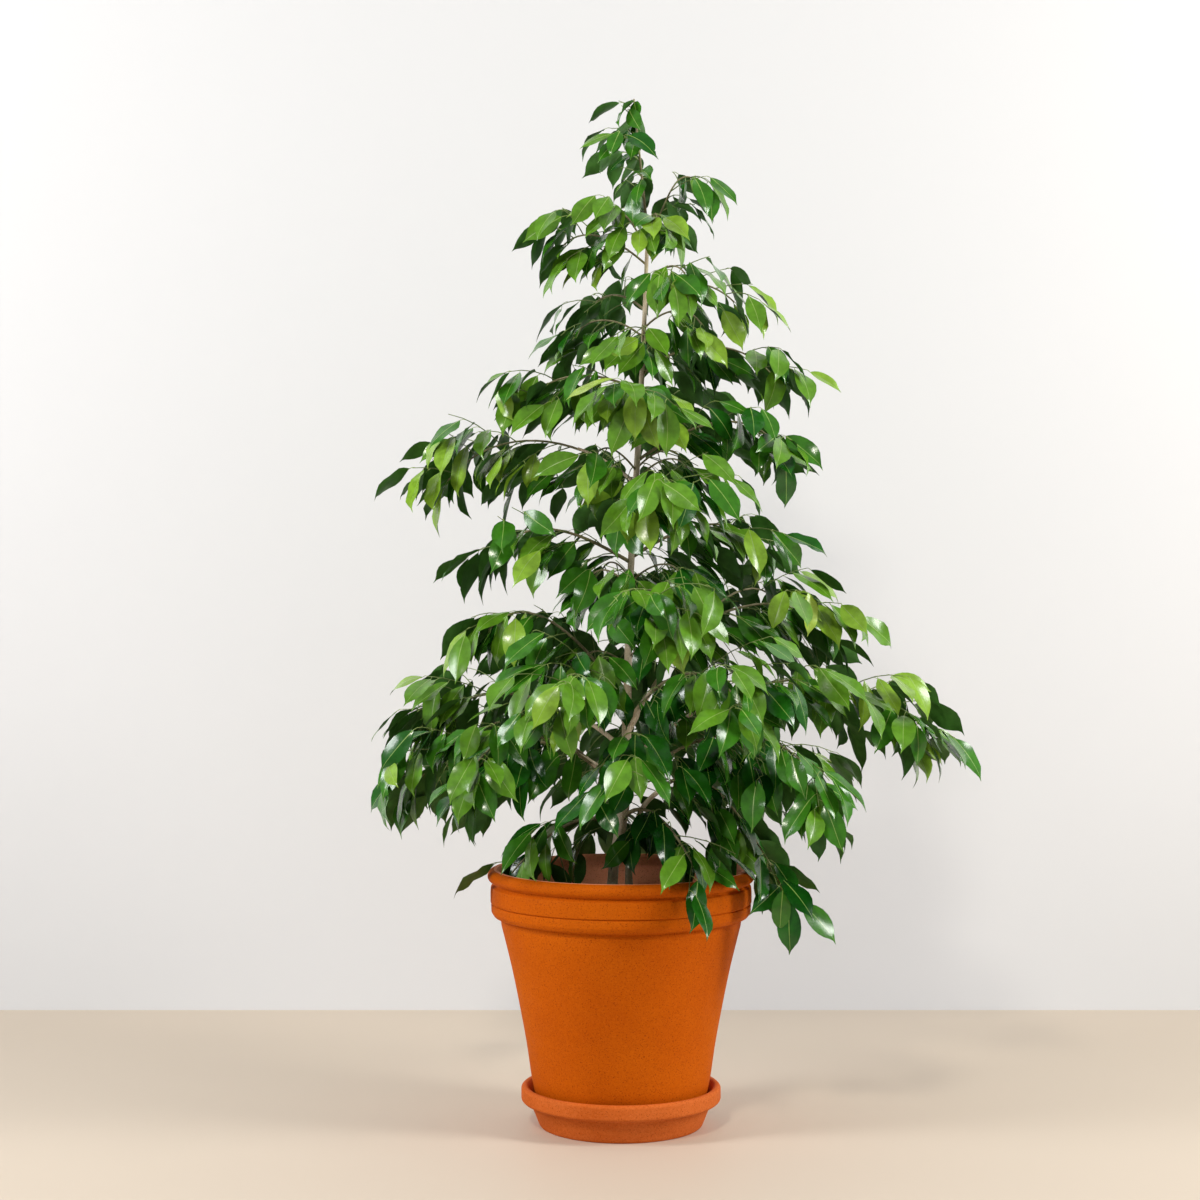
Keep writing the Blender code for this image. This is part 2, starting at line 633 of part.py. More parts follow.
def build():
    clear_scene()
    home = collection("potted_weeping_fig")
    tools = collection("cutters", hidden=True)
    clay = material("terracotta", (0.62, 0.22, 0.05), 0.75)
    saucer_clay = material("saucer_terracotta", (0.60, 0.20, 0.08), 0.8)
    earth = material("potting_soil", (0.06, 0.04, 0.03), 0.95)
    bark = material("bark", (0.30, 0.22, 0.14), 0.85)
    green = material("leaf_green", (0.06, 0.20, 0.03), 0.4)

    saucer = make_saucer(home, saucer_clay)
    pot = make_pot(home, clay)
    soil = make_soil(home, earth)
    trunk = listed_tube("trunk", TRUNK_LINE, home, bark)
    second = listed_tube("second_stem", SECOND_STEM_LINE, home, bark)
    clearance = GAP / math.cos(math.pi / TRUNK_SIDES)
    cutter = listed_tube("trunk_clearance", TRUNK_LINE, tools, grow=clearance)
    cutter.hide_render = True
    cutter.display_type = "WIRE"

    # The lines that the boughs and masses follow: a mass starts where its bough ends, or at the trunk
    lines, bough_lines, roots = {}, {}, {}
    for limb in LIMBS:
        start, radius = along(TRUNK_LINE, limb.height)
        corners = limb_corners(start, limb.azimuth, limb.reach, limb.tip, limb.rise)
        roots[limb.name] = min(BOUGH_RADIUS_MOST, radius * BOUGH_RADIUS_SHARE)
        lines[limb.name] = points_on(corners, limb.bare, 1.0, STEM_STEPS)
        if limb.bare:
            bough = points_on(corners, 0, limb.bare, BOUGH_STEPS)
            bough_lines[limb.name] = bough
            start_clear(lines[limb.name], bough, roots[limb.name])
    top, top_radius = along(TRUNK_LINE, TRUNK_LINE[-1][0])
    lines["leader"] = [
        Vector((top.x + LEADER_LEAN * t, top.y, top.z + GAP + (LEADER_TOP - top.z) * t))
        for t in (k / STEM_STEPS for k in range(STEM_STEPS + 1))
    ]
    second_line = [Vector((x, y, z)) for z, x, y, _ in SECOND_STEM_LINE]
    stem_end = second_line[-1]
    second_radius = SECOND_STEM_LINE[-1][3]
    ahead = (stem_end - second_line[-2]).normalized()
    stem_tip = Vector((0, 0, SECOND_STEM_TIP)) + heading(SECOND_STEM_AZIMUTH) * SECOND_STEM_REACH
    pull = 0.42 * (stem_tip - stem_end).length
    fall = heading(SECOND_STEM_AZIMUTH, -FALL)
    corners = (stem_end, stem_end + ahead * pull, stem_tip - fall * pull, stem_tip)
    lines["low_right"] = points_on(corners, 0, 1, STEM_STEPS)
    start_clear(lines["low_right"], second_line, second_radius)

    boughs = {}
    for name, points in bough_lines.items():
        radii = [roots[name] * (1 - (1 - BOUGH_TIP_SHARE) * k / BOUGH_STEPS) for k in range(BOUGH_STEPS + 1)]
        boughs[name] = tube("bough_" + name, points, radii, BOUGH_SIDES, home, bark)
        cut_clear(boughs[name], cutter)

    specs = []
    for limb in LIMBS:
        root_radius = roots[limb.name] * (BOUGH_TIP_SHARE if limb.bare else 1.0)
        specs.append((limb.name, limb.spread, root_radius, None if limb.bare else cutter))
    specs.append(("leader", LEADER_SPREAD, top_radius, None))
    specs.append(("low_right", SECOND_STEM_SPREAD, 0.95 * second_radius, None))

    spaces = Spaces(lines)
    limbs = [tree_of(obj, LIMB_MARGIN) for obj in (trunk, second, pot, soil, *boughs.values())]
    stems = {}
    for name, _, radius, _ in specs:
        radii = [radius + (STEM_TIP_RADIUS - radius) * k / STEM_STEPS for k in range(STEM_STEPS + 1)]
        stem = tube(name + "_line", lines[name], radii, STEM_SIDES, tools)
        stems[name] = tree_of(stem, LIMB_MARGIN)
        bpy.data.objects.remove(stem)
    taken = []
    total = 0
    for seed, (name, spread, radius, cut) in enumerate(specs):
        stem = lines[name]
        solids = limbs + [tree for other, tree in stems.items() if other != name]
        twigs, leaves = grow(
            460 + seed, stem, spread, lambda places: spaces.holds(name, places), solids, taken)
        fused_mass("foliage_" + name, stem, radius, twigs, leaves, home, green, cut)
        total += len(leaves)
    print("leaves", total)


build()
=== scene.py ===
"""Looks of the potted weeping fig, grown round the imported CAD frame.

Every mass of foliage is grown again from the limbs by the same rule as the solids, carried to finer twigs,
stalks and leaves, and keeps to the space of its own mass.
"""

import math
import random
from collections import namedtuple

import bmesh
import bpy
import numpy as np
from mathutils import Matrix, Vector, noise
from mathutils.bvhtree import BVHTree


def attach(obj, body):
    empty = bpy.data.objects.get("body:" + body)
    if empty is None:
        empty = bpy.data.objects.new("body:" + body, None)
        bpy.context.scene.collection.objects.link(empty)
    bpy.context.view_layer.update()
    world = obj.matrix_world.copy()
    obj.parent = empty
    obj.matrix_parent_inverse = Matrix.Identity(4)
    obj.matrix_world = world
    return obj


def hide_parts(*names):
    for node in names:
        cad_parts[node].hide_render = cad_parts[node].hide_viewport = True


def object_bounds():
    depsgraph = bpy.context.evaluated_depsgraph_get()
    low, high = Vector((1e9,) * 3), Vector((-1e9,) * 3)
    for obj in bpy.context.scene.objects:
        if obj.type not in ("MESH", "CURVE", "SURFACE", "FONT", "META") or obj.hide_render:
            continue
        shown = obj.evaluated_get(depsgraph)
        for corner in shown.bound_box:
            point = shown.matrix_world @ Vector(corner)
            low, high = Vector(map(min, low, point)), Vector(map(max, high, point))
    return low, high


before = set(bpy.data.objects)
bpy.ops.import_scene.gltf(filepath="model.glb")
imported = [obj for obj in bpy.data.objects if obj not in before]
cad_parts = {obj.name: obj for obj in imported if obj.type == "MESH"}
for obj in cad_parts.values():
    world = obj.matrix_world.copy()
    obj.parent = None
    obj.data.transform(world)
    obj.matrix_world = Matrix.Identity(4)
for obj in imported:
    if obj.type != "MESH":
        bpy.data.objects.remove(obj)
CAD_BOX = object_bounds()

UP = Vector((0, 0, 1))

# ---------------------------------------------------------------- the limbs, as the solids have them
GAP = 0.0003
SAUCER_FLOOR = 0.0137
POT_FOOT = SAUCER_FLOOR + GAP
POT_BODY = ((POT_FOOT, 0.1000), (0.0190, 0.1052), (0.0400, 0.1125), (0.0656, 0.1178), (0.1100, 0.1243),
            (0.1627, 0.1342), (0.2127, 0.1447), (0.2740, 0.1600))
POT_BAND_RADIUS, POT_LIP_RADIUS, POT_TOP, POT_LIP, POT_LIP_WALL = 0.1715, 0.1755, 0.336, 0.0170, 0.0165
POT_WALL, POT_FLOOR, DRAIN_RADIUS = 0.0130, 0.0160, 0.0140
SOIL_TOP, SOIL_FALL = 0.2920, 0.0060
TRUNK_FOOT = SOIL_TOP + GAP
TRUNK_LINE = (  # height, x, y, radius
    (TRUNK_FOOT, -0.0125, 0.0020, 0.0110),
    (0.3000, -0.0125, 0.0020, 0.0086),
    (0.3120, -0.0115, 0.0020, 0.0072),
    (0.3500, -0.0080, 0.0030, 0.0066),
    (0.4000, 0.0010, 0.0030, 0.0078),
    (0.4350, 0.0040, 0.0010, 0.0084),
    (0.4800, 0.0065, 0.0000, 0.0068),
    (0.5900, 0.0090, 0.0000, 0.0052),
    (0.7200, 0.0125, 0.0010, 0.0045),
    (0.9000, 0.0230, 0.0000, 0.0038),
    (1.0400, 0.0300, 0.0010, 0.0031),
    (1.1700, 0.0350, 0.0000, 0.0023),
)
SECOND_STEM_LINE = (
    (TRUNK_FOOT, 0.0110, -0.0040, 0.0085),
    (0.2990, 0.0110, -0.0040, 0.0068),
    (0.3100, 0.0105, -0.0045, 0.0054),
    (0.3500, 0.0105, -0.0090, 0.0042),
    (0.3850, 0.0160, -0.0130, 0.0036),
    (0.4200, 0.0300, -0.0170, 0.0033),
    (0.4420, 0.0520, -0.0210, 0.0030),
)
Limb = namedtuple("Limb", "name height azimuth reach tip rise spread bare")
LIMBS = (
    Limb("low_left", 0.388, 198, 0.130, 0.335, 40, 0.080, 0.0),
    Limb("low_front", 0.398, 304, 0.150, 0.345, 42, 0.080, 0.0),
    Limb("low_back", 0.404, 102, 0.160, 0.360, 40, 0.090, 0.0),
    Limb("wide_left", 0.444, 184, 0.255, 0.450, 42, 0.100, 0.24),
    Limb("wide_back_left", 0.426, 143, 0.255, 0.480, 46, 0.110, 0.24),
    Limb("wide_back", 0.436, 90, 0.250, 0.460, 46, 0.120, 0.24),
    Limb("wide_back_right", 0.452, 40, 0.280, 0.455, 46, 0.120, 0.24),
    Limb("wide_right", 0.470, 357, 0.374, 0.508, 46, 0.115, 0.24),
    Limb("wide_front_right", 0.432, 326, 0.272, 0.462, 48, 0.110, 0.24),
    Limb("wide_front", 0.446, 266, 0.205, 0.465, 46, 0.100, 0.26),
    Limb("wide_front_left", 0.430, 222, 0.240, 0.475, 44, 0.100, 0.24),
    Limb("middle_far_left", 0.490, 170, 0.250, 0.515, 42, 0.095, 0.24),
    Limb("middle_left", 0.550, 190, 0.165, 0.650, 58, 0.085, 0.28),
    Limb("middle_back_left", 0.520, 120, 0.230, 0.560, 54, 0.110, 0.26),
    Limb("middle_back_right", 0.510, 30, 0.238, 0.672, 58, 0.105, 0.26),
    Limb("middle_right", 0.575, 4, 0.255, 0.640, 52, 0.105, 0.26),
    Limb("middle_front_right", 0.520, 306, 0.225, 0.550, 54, 0.105, 0.26),
    Limb("middle_front_left", 0.535, 246, 0.210, 0.555, 54, 0.100, 0.28),
    Limb("high_front", 0.655, 282, 0.180, 0.665, 34, 0.100, 0.0),
    Limb("high_back", 0.668, 74, 0.190, 0.675, 34, 0.100, 0.0),
    Limb("high_left", 0.738, 194, 0.160, 0.752, 30, 0.090, 0.0),
    Limb("high_right", 0.745, 8, 0.155, 0.760, 34, 0.092, 0.0),
    Limb("upper_front", 0.802, 290, 0.145, 0.812, 34, 0.092, 0.0),
    Limb("upper_back", 0.814, 96, 0.150, 0.828, 34, 0.095, 0.0),
    Limb("upper_left", 0.842, 180, 0.230, 0.845, 42, 0.098, 0.32),
    Limb("upper_right", 0.872, 352, 0.165, 0.892, 36, 0.092, 0.0),
    Limb("top_front", 0.928, 268, 0.120, 0.935, 36, 0.088, 0.0),
    Limb("top_back", 0.942, 70, 0.125, 0.948, 36, 0.088, 0.0),
    Limb("top_left", 0.962, 184, 0.135, 0.948, 30, 0.082, 0.0),
    Limb("top_right", 0.985, 2, 0.155, 0.985, 46, 0.088, 0.0),
    Limb("crown_front", 1.095, 300, 0.080, 1.105, 40, 0.072, 0.0),
    Limb("crown_back", 1.070, 135, 0.085, 1.080, 40, 0.072, 0.0),
    Limb("crown_left", 1.130, 180, 0.092, 1.155, 42, 0.065, 0.0),
    Limb("crown_right", 1.085, 350, 0.100, 1.078, 42, 0.070, 0.0),
    Limb("tip_left", 1.150, 215, 0.045, 1.190, 52, 0.055, 0.0),
    Limb("tip_right", 1.162, 10, 0.050, 1.240, 56, 0.054, 0.0),
)
SHOOTS = (  # short leafy shoots on the trunk between the boughs, which only the render has
    Limb("low_shoot_right", 0.428, 20, 0.085, 0.435, 40, 0.060, 0.0),
    Limb("middle_shoot_left", 0.600, 215, 0.080, 0.605, 44, 0.064, 0.0),
    Limb("middle_shoot_right", 0.612, 318, 0.080, 0.617, 44, 0.064, 0.0),
    Limb("middle_shoot_back", 0.606, 88, 0.090, 0.611, 44, 0.066, 0.0),
    Limb("high_shoot_left", 0.705, 226, 0.080, 0.712, 40, 0.062, 0.0),
    Limb("high_shoot_right", 0.712, 326, 0.080, 0.720, 40, 0.062, 0.0),
    Limb("high_shoot_back", 0.716, 118, 0.085, 0.722, 40, 0.062, 0.0),
    Limb("upper_shoot_left", 0.858, 228, 0.085, 0.870, 42, 0.064, 0.0),
    Limb("upper_shoot_right", 0.846, 322, 0.085, 0.856, 42, 0.064, 0.0),
    Limb("upper_shoot_back", 0.862, 40, 0.085, 0.872, 42, 0.064, 0.0),
    Limb("top_shoot_front", 1.022, 268, 0.078, 1.028, 44, 0.064, 0.0),
    Limb("top_shoot_left", 1.034, 172, 0.095, 1.036, 44, 0.066, 0.0),
    Limb("top_shoot_back", 1.026, 76, 0.078, 1.030, 44, 0.064, 0.0),
    Limb("top_shoot_right", 1.046, 330, 0.085, 1.046, 44, 0.064, 0.0),
    Limb("crown_shoot_front", 1.160, 285, 0.045, 1.185, 48, 0.050, 0.0),
)
SHOOT_RADIUS = 0.0015
BOUGH_RADIUS_SHARE, BOUGH_RADIUS_MOST, BOUGH_TIP_SHARE = 0.62, 0.0034, 0.75
LIMB_PULL = 0.42  # how far the handles of a limb's curve reach, as a share of its length
LEADER_TOP, LEADER_LEAN, LEADER_SPREAD = 1.348, -0.018, 0.056
SECOND_STEM_REACH, SECOND_STEM_TIP, SECOND_STEM_AZIMUTH, SECOND_STEM_SPREAD = 0.208, 0.332, 346, 0.080
SPACE_DROP = 0.030  # a mass hangs this far under its own line
FALL = 58.0  # degrees that a limb's tip points down

# ---------------------------------------------------------------- finer growth
GROWTH_SEED = 775  # of the first stem, and each next stem's is one more
LEAF_LENGTH = 0.065
LEAF_WIDTH = 0.45  # of its length
LEAF_VARIES = (0.84, 1.12)
LEAF_TOP_SHARE = 0.84  # of the length low in the crown, which a leaf has at its top
LEAF_SHRINKS_FROM, LEAF_SHRINKS_OVER = 0.95, 0.30  # in height
LEAF_STEP = 0.0118  # between leaves along a twig
STEP_VARIES = (0.85, 1.15)
TWIG_STEP = 0.0185  # between twigs along a stem
STEM_STEPS = 16
COARSE_STEPS = 5
BOUGH_STEPS = 12
TWIG_STEPS = 4
LEAF_TRIES = 10
TWIG_TRIES = 10
LIMB_MARGIN = 0.0012
STALK = 0.010  # length of a leaf's stalk
STALK_RISE = 0.0012  # how far its middle bends up
STALK_ON_BLADE = 0.004  # how far it runs on under the blade
BARE_SHARE = 0.4  # of a bough's bare part that the render leaves bare
REACH_ON = 0.018  # the render's leaves are shorter than the solids', so its stems reach this much further
OVER_BOX = 0.010  # how far a leaf may reach over the solids' box
INNER_LIMIT, OUTER_LIMIT = np.array(CAD_BOX[0]) - OVER_BOX, np.array(CAD_BOX[1]) + OVER_BOX

# Share of leaves left out: by mass near the pot's axis, then beyond that, then where the trunk's foot shows.
THINNED = {
    "low_front": 0.42, "low_left": 0.30, "low_right": 0.16, "low_back": 0.52,
    "wide_front": 0.38, "wide_front_left": 0.20, "wide_front_right": 0.12,
    "wide_back": 0.34, "wide_back_left": 0.18,
}
THINNED_ELSE = 0.17
THINNED_WITHIN = 0.17  # of the pot's axis
THINNED_BEYOND = 0.14
OPENING_LEFT, OPENING_RIGHT, OPENING_TOP = -0.085, 0.065, 0.500
OPENING_SHARE = 0.76

# Ranges that each twig draws from: degrees off its stem, lift, share of the full length, droop at each step.
TWIG_ANGLE, TWIG_LIFT, TWIG_VARIES, TWIG_DROOP = (38, 75), (-2.1, 1.9), (0.8, 1.15), (0.06, 0.24)
TWIG_ROOM = (0.35, 0.65)  # where it starts in its own stretch of the stem
TWIG_ARC_FROM, TWIG_ARC_SPAN, TWIG_ARC_POWER = 0.22, 0.62, 0.8  # twigs are longest past the stem's middle
TWIG_SHORTER = 0.5  # how much shorter the last try is
TWIG_BARE = 0.30  # share of a twig before its first leaf
TRIAL_RADIUS = 0.001  # of the strip that a twig is tried for room with
# Ranges that each leaf draws from: which way the blade hangs, which way its face looks, and its own shape.
BLADE_OUT, BLADE_ASIDE, BLADE_DOWN = (-0.15, 0.75), (-0.1, 0.8), (0.4, 1.4)
FACE_OUT, FACE_UP, FACE_ASIDE = (0.5, 1.0), (0.2, 0.7), (-0.6, 0.7)
LEAF_BOW, LEAF_FOLD, LEAF_WAVE, LEAF_PHASE = (0.02, 0.09), (-0.10, 0.34), (0.4, 1.6), (0, 6.3)
TWIG_TONE, STEM_TONE = (-0.9, 0.9), (-0.6, 0.6)
LAST_LEAF_TONE, STEM_TIP_TONE, LAST_LEAF_SIZE = 0.5, 0.6, 0.95

STEM_TIP_RADIUS = 0.0010
TWIG_RADIUS = 0.00085
TWIG_TIP_RADIUS = 0.0005
STALK_RADIUS = 0.00045
STALK_TIP_RADIUS = 0.0003
STEM_TAPER = 0.8  # under 1, it thins faster near its foot


# ---------------------------------------------------------------- materials
def node_material(name, build):
    made = bpy.data.materials.new(name)
    made.use_nodes = True
    tree = made.node_tree
    shader = tree.nodes["Principled BSDF"]
    build(tree, shader)
    return made


def put(node, name, value):
    node.inputs[name].default_value = value


def grey(value):
    return value, value, value


def ramp_of(tree, factor, stops):
    ramp = tree.nodes.new("ShaderNodeValToRGB")
    elements = ramp.color_ramp.elements
    while len(elements) < len(stops):
        elements.new(0.5)
    for element, (place, colour) in zip(elements, stops):
        element.position = place
        element.color = (*colour, 1)
    tree.links.new(factor, ramp.inputs["Fac"])
    return ramp.outputs["Color"]


def noise_of(tree, scale, detail, stretch=(1, 1, 1), roughness=0.55):
    coordinates = tree.nodes.new("ShaderNodeTexCoord")
    mapping = tree.nodes.new("ShaderNodeMapping")
    put(mapping, "Scale", stretch)
    texture = tree.nodes.new("ShaderNodeTexNoise")
    put(texture, "Scale", scale)
    put(texture, "Detail", detail)
    put(texture, "Roughness", roughness)
    tree.links.new(coordinates.outputs["Object"], mapping.inputs["Vector"])
    tree.links.new(mapping.outputs["Vector"], texture.inputs["Vector"])
    return texture.outputs["Fac"]


def mixed(tree, factor, a, b, mode="MIX"):
    mix = tree.nodes.new("ShaderNodeMix")
    mix.data_type = "RGBA"
    mix.blend_type = mode
    for value, slot in ((factor, 0), (a, 6), (b, 7)):
        if hasattr(value, "is_linked"):
            tree.links.new(value, mix.inputs[slot])
        else:
            mix.inputs[slot].default_value = value if slot == 0 else (*value, 1)
    return mix.outputs[2]


def bump_of(tree, shader, height, strength, distance):
    bump = tree.nodes.new("ShaderNodeBump")
    put(bump, "Strength", strength)
    put(bump, "Distance", distance)
    tree.links.new(height, bump.inputs["Height"])
    tree.links.new(bump.outputs["Normal"], shader.inputs["Normal"])


def clay(name, base, bright, dark, speck):
    """Fired clay: broad patches, a fine grain, dark flecks and pale specks."""
    def build(tree, shader):
        broad = ramp_of(tree, noise_of(tree, 7, 3), ((0.30, dark), (0.50, base), (0.72, bright)))
        fine = noise_of(tree, 620, 2)
        fleck = ramp_of(tree, fine, ((0.30, grey(1)), (0.42, grey(0))))
        grain = ramp_of(tree, noise_of(tree, 330, 3), ((0.30, dark), (0.70, bright)))
        colour = mixed(tree, fleck, mixed(tree, 0.45, broad, grain), speck)
        pale = ramp_of(tree, noise_of(tree, 900, 1), ((0.66, grey(0)), (0.74, grey(0.35))))
        colour = mixed(tree, pale, colour, tuple(min(1, c * 1.25 + 0.02) for c in bright))
        tree.links.new(colour, shader.inputs["Base Color"])
        rough = ramp_of(tree, noise_of(tree, 60, 4), ((0.3, grey(0.62)), (0.7, grey(0.78))))
        tree.links.new(rough, shader.inputs["Roughness"])
        put(shader, "Specular IOR Level", 0.05)
        bump_of(tree, shader, fine, 0.25, 0.0006)
    return node_material(name, build)


def bark_material(name, dark, base, light, green):
    """Bark streaked along the limb, with greenish patches and pale pores."""
    def build(tree, shader):
        streak = noise_of(tree, 120, 5, (1, 1, 0.22))
        colour = ramp_of(tree, streak, ((0.28, dark), (0.5, base), (0.74, light)))
        patch = ramp_of(tree, noise_of(tree, 26, 3), ((0.48, grey(0)), (0.66, grey(0.55))))
        colour = mixed(tree, patch, colour, green)
        pores = ramp_of(tree, noise_of(tree, 520, 1, (1, 1, 2.4)), ((0.62, grey(0)), (0.70, grey(0.8))))
        colour = mixed(tree, pores, colour, tuple(min(1, c * 1.5) for c in light))
        tree.links.new(colour, shader.inputs["Base Color"])
        put(shader, "Roughness", 0.78)
        bump_of(tree, shader, streak, 0.4, 0.0008)
    return node_material(name, build)


def stage_material(name, colour, roughness):
    def build(tree, shader):
        put(shader, "Base Color", (*colour, 1))
        put(shader, "Roughness", roughness)
    return node_material(name, build)


def leaf_material(name, colour, roughness, specular=0.44):
    """The skin of a leaf, stalk or green twig: the green it is given, mottled a little, with fine veins and uneven
    gloss.
    """
    def build(tree, shader):
        darker, brighter = (tuple(c * share for c in colour) for share in (0.82, 1.16))
        mottle = ramp_of(tree, noise_of(tree, 75, 2), ((0.35, darker), (0.65, brighter)))
        tree.links.new(mottle, shader.inputs["Base Color"])
        veins = noise_of(tree, 420, 2)
        gloss = ramp_of(tree, veins, ((0.3, grey(roughness - 0.05)), (0.7, grey(roughness + 0.07))))
        tree.links.new(gloss, shader.inputs["Roughness"])
        put(shader, "Specular IOR Level", specular)
        bump_of(tree, shader, veins, 0.16, 0.0005)
    return node_material(name, build)


TERRACOTTA = clay(
    "terracotta", (0.50, 0.092, 0.0008), (0.57, 0.118, 0.002), (0.43, 0.070, 0.0005), (0.26, 0.035, 0.0005))
SAUCER_CLAY = clay(
    "saucer_terracotta", (0.54, 0.115, 0.018), (0.62, 0.155, 0.034), (0.45, 0.080, 0.006), (0.32, 0.05, 0.005))
# The inside is paler than the outside. Its salmon hue is the clay's own. Its paleness, past that of real clay, is
# painted light on the inner wall that the foliage shades.
POT_INSIDE = clay(
    "pot_inside", (0.86, 0.31, 0.165), (0.92, 0.37, 0.21), (0.76, 0.25, 0.12), (0.55, 0.16, 0.07))
BARK = bark_material(
    "bark", (0.32, 0.24, 0.16), (0.58, 0.47, 0.33), (0.78, 0.68, 0.53), (0.42, 0.40, 0.21))
YOUNG_BARK = bark_material(
    "young_bark", (0.14, 0.12, 0.06), (0.22, 0.19, 0.10), (0.31, 0.27, 0.16), (0.16, 0.20, 0.06))
TWIG_GREEN = leaf_material("twig_green", (0.15, 0.22, 0.05), 0.52, specular=0.5)
STALK_GREEN = leaf_material("stalk_green", (0.26, 0.36, 0.09), 0.47, specular=0.5)
# Greens of the upper skins, from dark to pale. The darkest stand in part for painted shade deep in the crown. The
# palest stand for painted light on outer leaves as well as for young ones.
LEAF_TOPS = [
    leaf_material("leaf_deep", (0.004, 0.054, 0.003), 0.17),
    leaf_material("leaf_dark", (0.011, 0.094, 0.005), 0.18),
    leaf_material("leaf_green", (0.036, 0.158, 0.008), 0.19),
    leaf_material("leaf_mid", (0.096, 0.242, 0.014), 0.20),
    leaf_material("leaf_light", (0.200, 0.365, 0.028), 0.21),
    leaf_material("leaf_young", (0.330, 0.480, 0.055), 0.23),
]
LEAF_RIB = leaf_material("leaf_rib", (0.22, 0.36, 0.07), 0.37, specular=0.5)
LEAF_BELOW = leaf_material("leaf_below", (0.046, 0.140, 0.022), 0.50, specular=0.22)


# ---------------------------------------------------------------- meshes from computed points
TURNED_SHARP, BARK_SHARP = math.radians(35), math.radians(60)  # edges sharper than this aren't smoothed


def mesh_object(name, points, faces, finishes, indices=None, smooth=True):
    mesh = bpy.data.meshes.new(name)
    mesh.from_pydata([tuple(p) for p in points], [], faces)
    for finish in finishes:
        mesh.materials.append(finish)
    if indices is not None:
        mesh.polygons.foreach_set("material_index", np.array(indices, dtype=np.int32))
    if smooth:
        mesh.shade_smooth()
    mesh.update()
    made = bpy.data.objects.new(name, mesh)
    bpy.context.scene.collection.objects.link(made)
    return made


def turned(name, profile, finishes, steps=160, second_from=None):
    """A body turned about Z from (radius, height) points; points on the axis close it. The second finish, if there
    is one, covers the profile from point second_from on."""
    points, faces, rings, indices = [], [], [], []
    for radius, height in profile:
        if radius == 0:
            rings.append([len(points)])
            points.append((0, 0, height))
        else:
            start = len(points)
            rings.append(list(range(start, start + steps)))
            for k in range(steps):
                turn = 2 * math.pi * k / steps
                points.append((radius * math.cos(turn), radius * math.sin(turn), height))
    pairs = list(zip(rings, rings[1:]))
    if profile[0][0] and profile[-1][0]:
        pairs.append((rings[-1], rings[0]))
    for number, (a, b) in enumerate(pairs):
        indices += [int(second_from is not None and number >= second_from)] * steps
        for k in range(steps):
            j = (k + 1) % steps
            if len(a) == 1:
                faces.append((a[0], b[k], b[j]))
            elif len(b) == 1:
                faces.append((a[k], b[0], a[j]))
            else:
                faces.append((a[k], b[k], b[j], a[j]))
    made = mesh_object(name, points, faces, finishes, indices)
    made.data.set_sharp_from_angle(angle=TURNED_SHARP)
    return made


def rounded(profile, radius, steps=3):
    """Rounds the inner corners of a (radius, height) profile, by at most 0.4 of the sides that meet there."""
    out = []
    for k, corner in enumerate(profile):
        if k in (0, len(profile) - 1):
            out.append(corner)
            continue
        before, here, after = (Vector(p) for p in profile[k - 1:k + 2])
        reach = min(radius, 0.4 * (before - here).length, 0.4 * (after - here).length)
        a = here + (before - here).normalized() * reach
        b = here + (after - here).normalized() * reach
        for j in range(steps + 1):
            t = j / steps
            out.append(tuple(a * (1 - t) ** 2 + here * (2 * t * (1 - t)) + b * t * t))
    return out


class Collected:
    """Points, faces and material numbers of many small shapes that make one piece."""

    def __init__(self):
        self.points, self.faces, self.indices = [], [], []

    def add(self, points, faces, index):
        base = len(self.points)
        self.points += points
        self.faces += [tuple(base + i for i in face) for face in faces]
        self.indices += [index] * len(faces)

    def tube(self, line, radii, sides, index):
        self.add(*tube_points(line, radii, sides), index)


def frames_along(line):
    """Two crosswise directions at each point of a line, carried along without twisting."""
    ahead = [(b - a).normalized() for a, b in zip(line, line[1:])]
    ahead.append(ahead[-1])
    side = ahead[0].orthogonal().normalized()
    out = []
    for k in range(len(line)):
        direction = (ahead[k] + ahead[max(0, k - 1)]).normalized()
        side = (side - direction * side.dot(direction)).normalized()
        out.append((side, direction.cross(side)))
    return out


def tube_points(line, radii, sides, relief=None):
    """Points and faces of a closed tube along a line; relief gives how far its skin swells at a place."""
    points, faces = [], []
    for k, (place, radius, (a, b)) in enumerate(zip(line, radii, frames_along(line))):
        for j in range(sides):
            turn = 2 * math.pi * j / sides
            out = a * math.cos(turn) + b * math.sin(turn)
            swell = relief(place, turn) if relief else 0.0
            points.append(place + out * (radius + swell))
    for k in range(len(line) - 1):
        for j in range(sides):
            i = (j + 1) % sides
            faces.append((k * sides + j, k * sides + i, (k + 1) * sides + i, (k + 1) * sides + j))
    faces.append(tuple(reversed(range(sides))))
    faces.append(tuple((len(line) - 1) * sides + j for j in range(sides)))
    return points, faces


# ---------------------------------------------------------------- lines of the limbs
def along(line, height):
    """The place and radius of a stem's line of stations at a height."""
    height = min(max(height, line[0][0]), line[-1][0])
    for low, high in zip(line, line[1:]):
        if height <= high[0]:
            share = (height - low[0]) / (high[0] - low[0])
            x, y, radius = (low[k] + (high[k] - low[k]) * share for k in (1, 2, 3))
            return Vector((x, y, height)), radius
    return None


def bezier(corners, t):
    a, b, c, d = corners
    s = 1 - t
    return a * s**3 + b * 3 * s * s * t + c * 3 * s * t * t + d * t**3


def heading(azimuth, rise=0.0):
    a, e = math.radians(azimuth), math.radians(rise)
    return Vector((math.cos(a) * math.cos(e), math.sin(a) * math.cos(e), math.sin(e)))


def limb_corners(start, azimuth, reach, tip, rise):
    end = Vector((start.x, start.y, tip)) + heading(azimuth) * reach
    pull = LIMB_PULL * (end - start).length
    return start, start + heading(azimuth, rise) * pull, end - heading(azimuth, -FALL) * pull, end


def points_on(corners, first, last, steps):
    return [bezier(corners, first + (last - first) * k / steps) for k in range(steps + 1)]


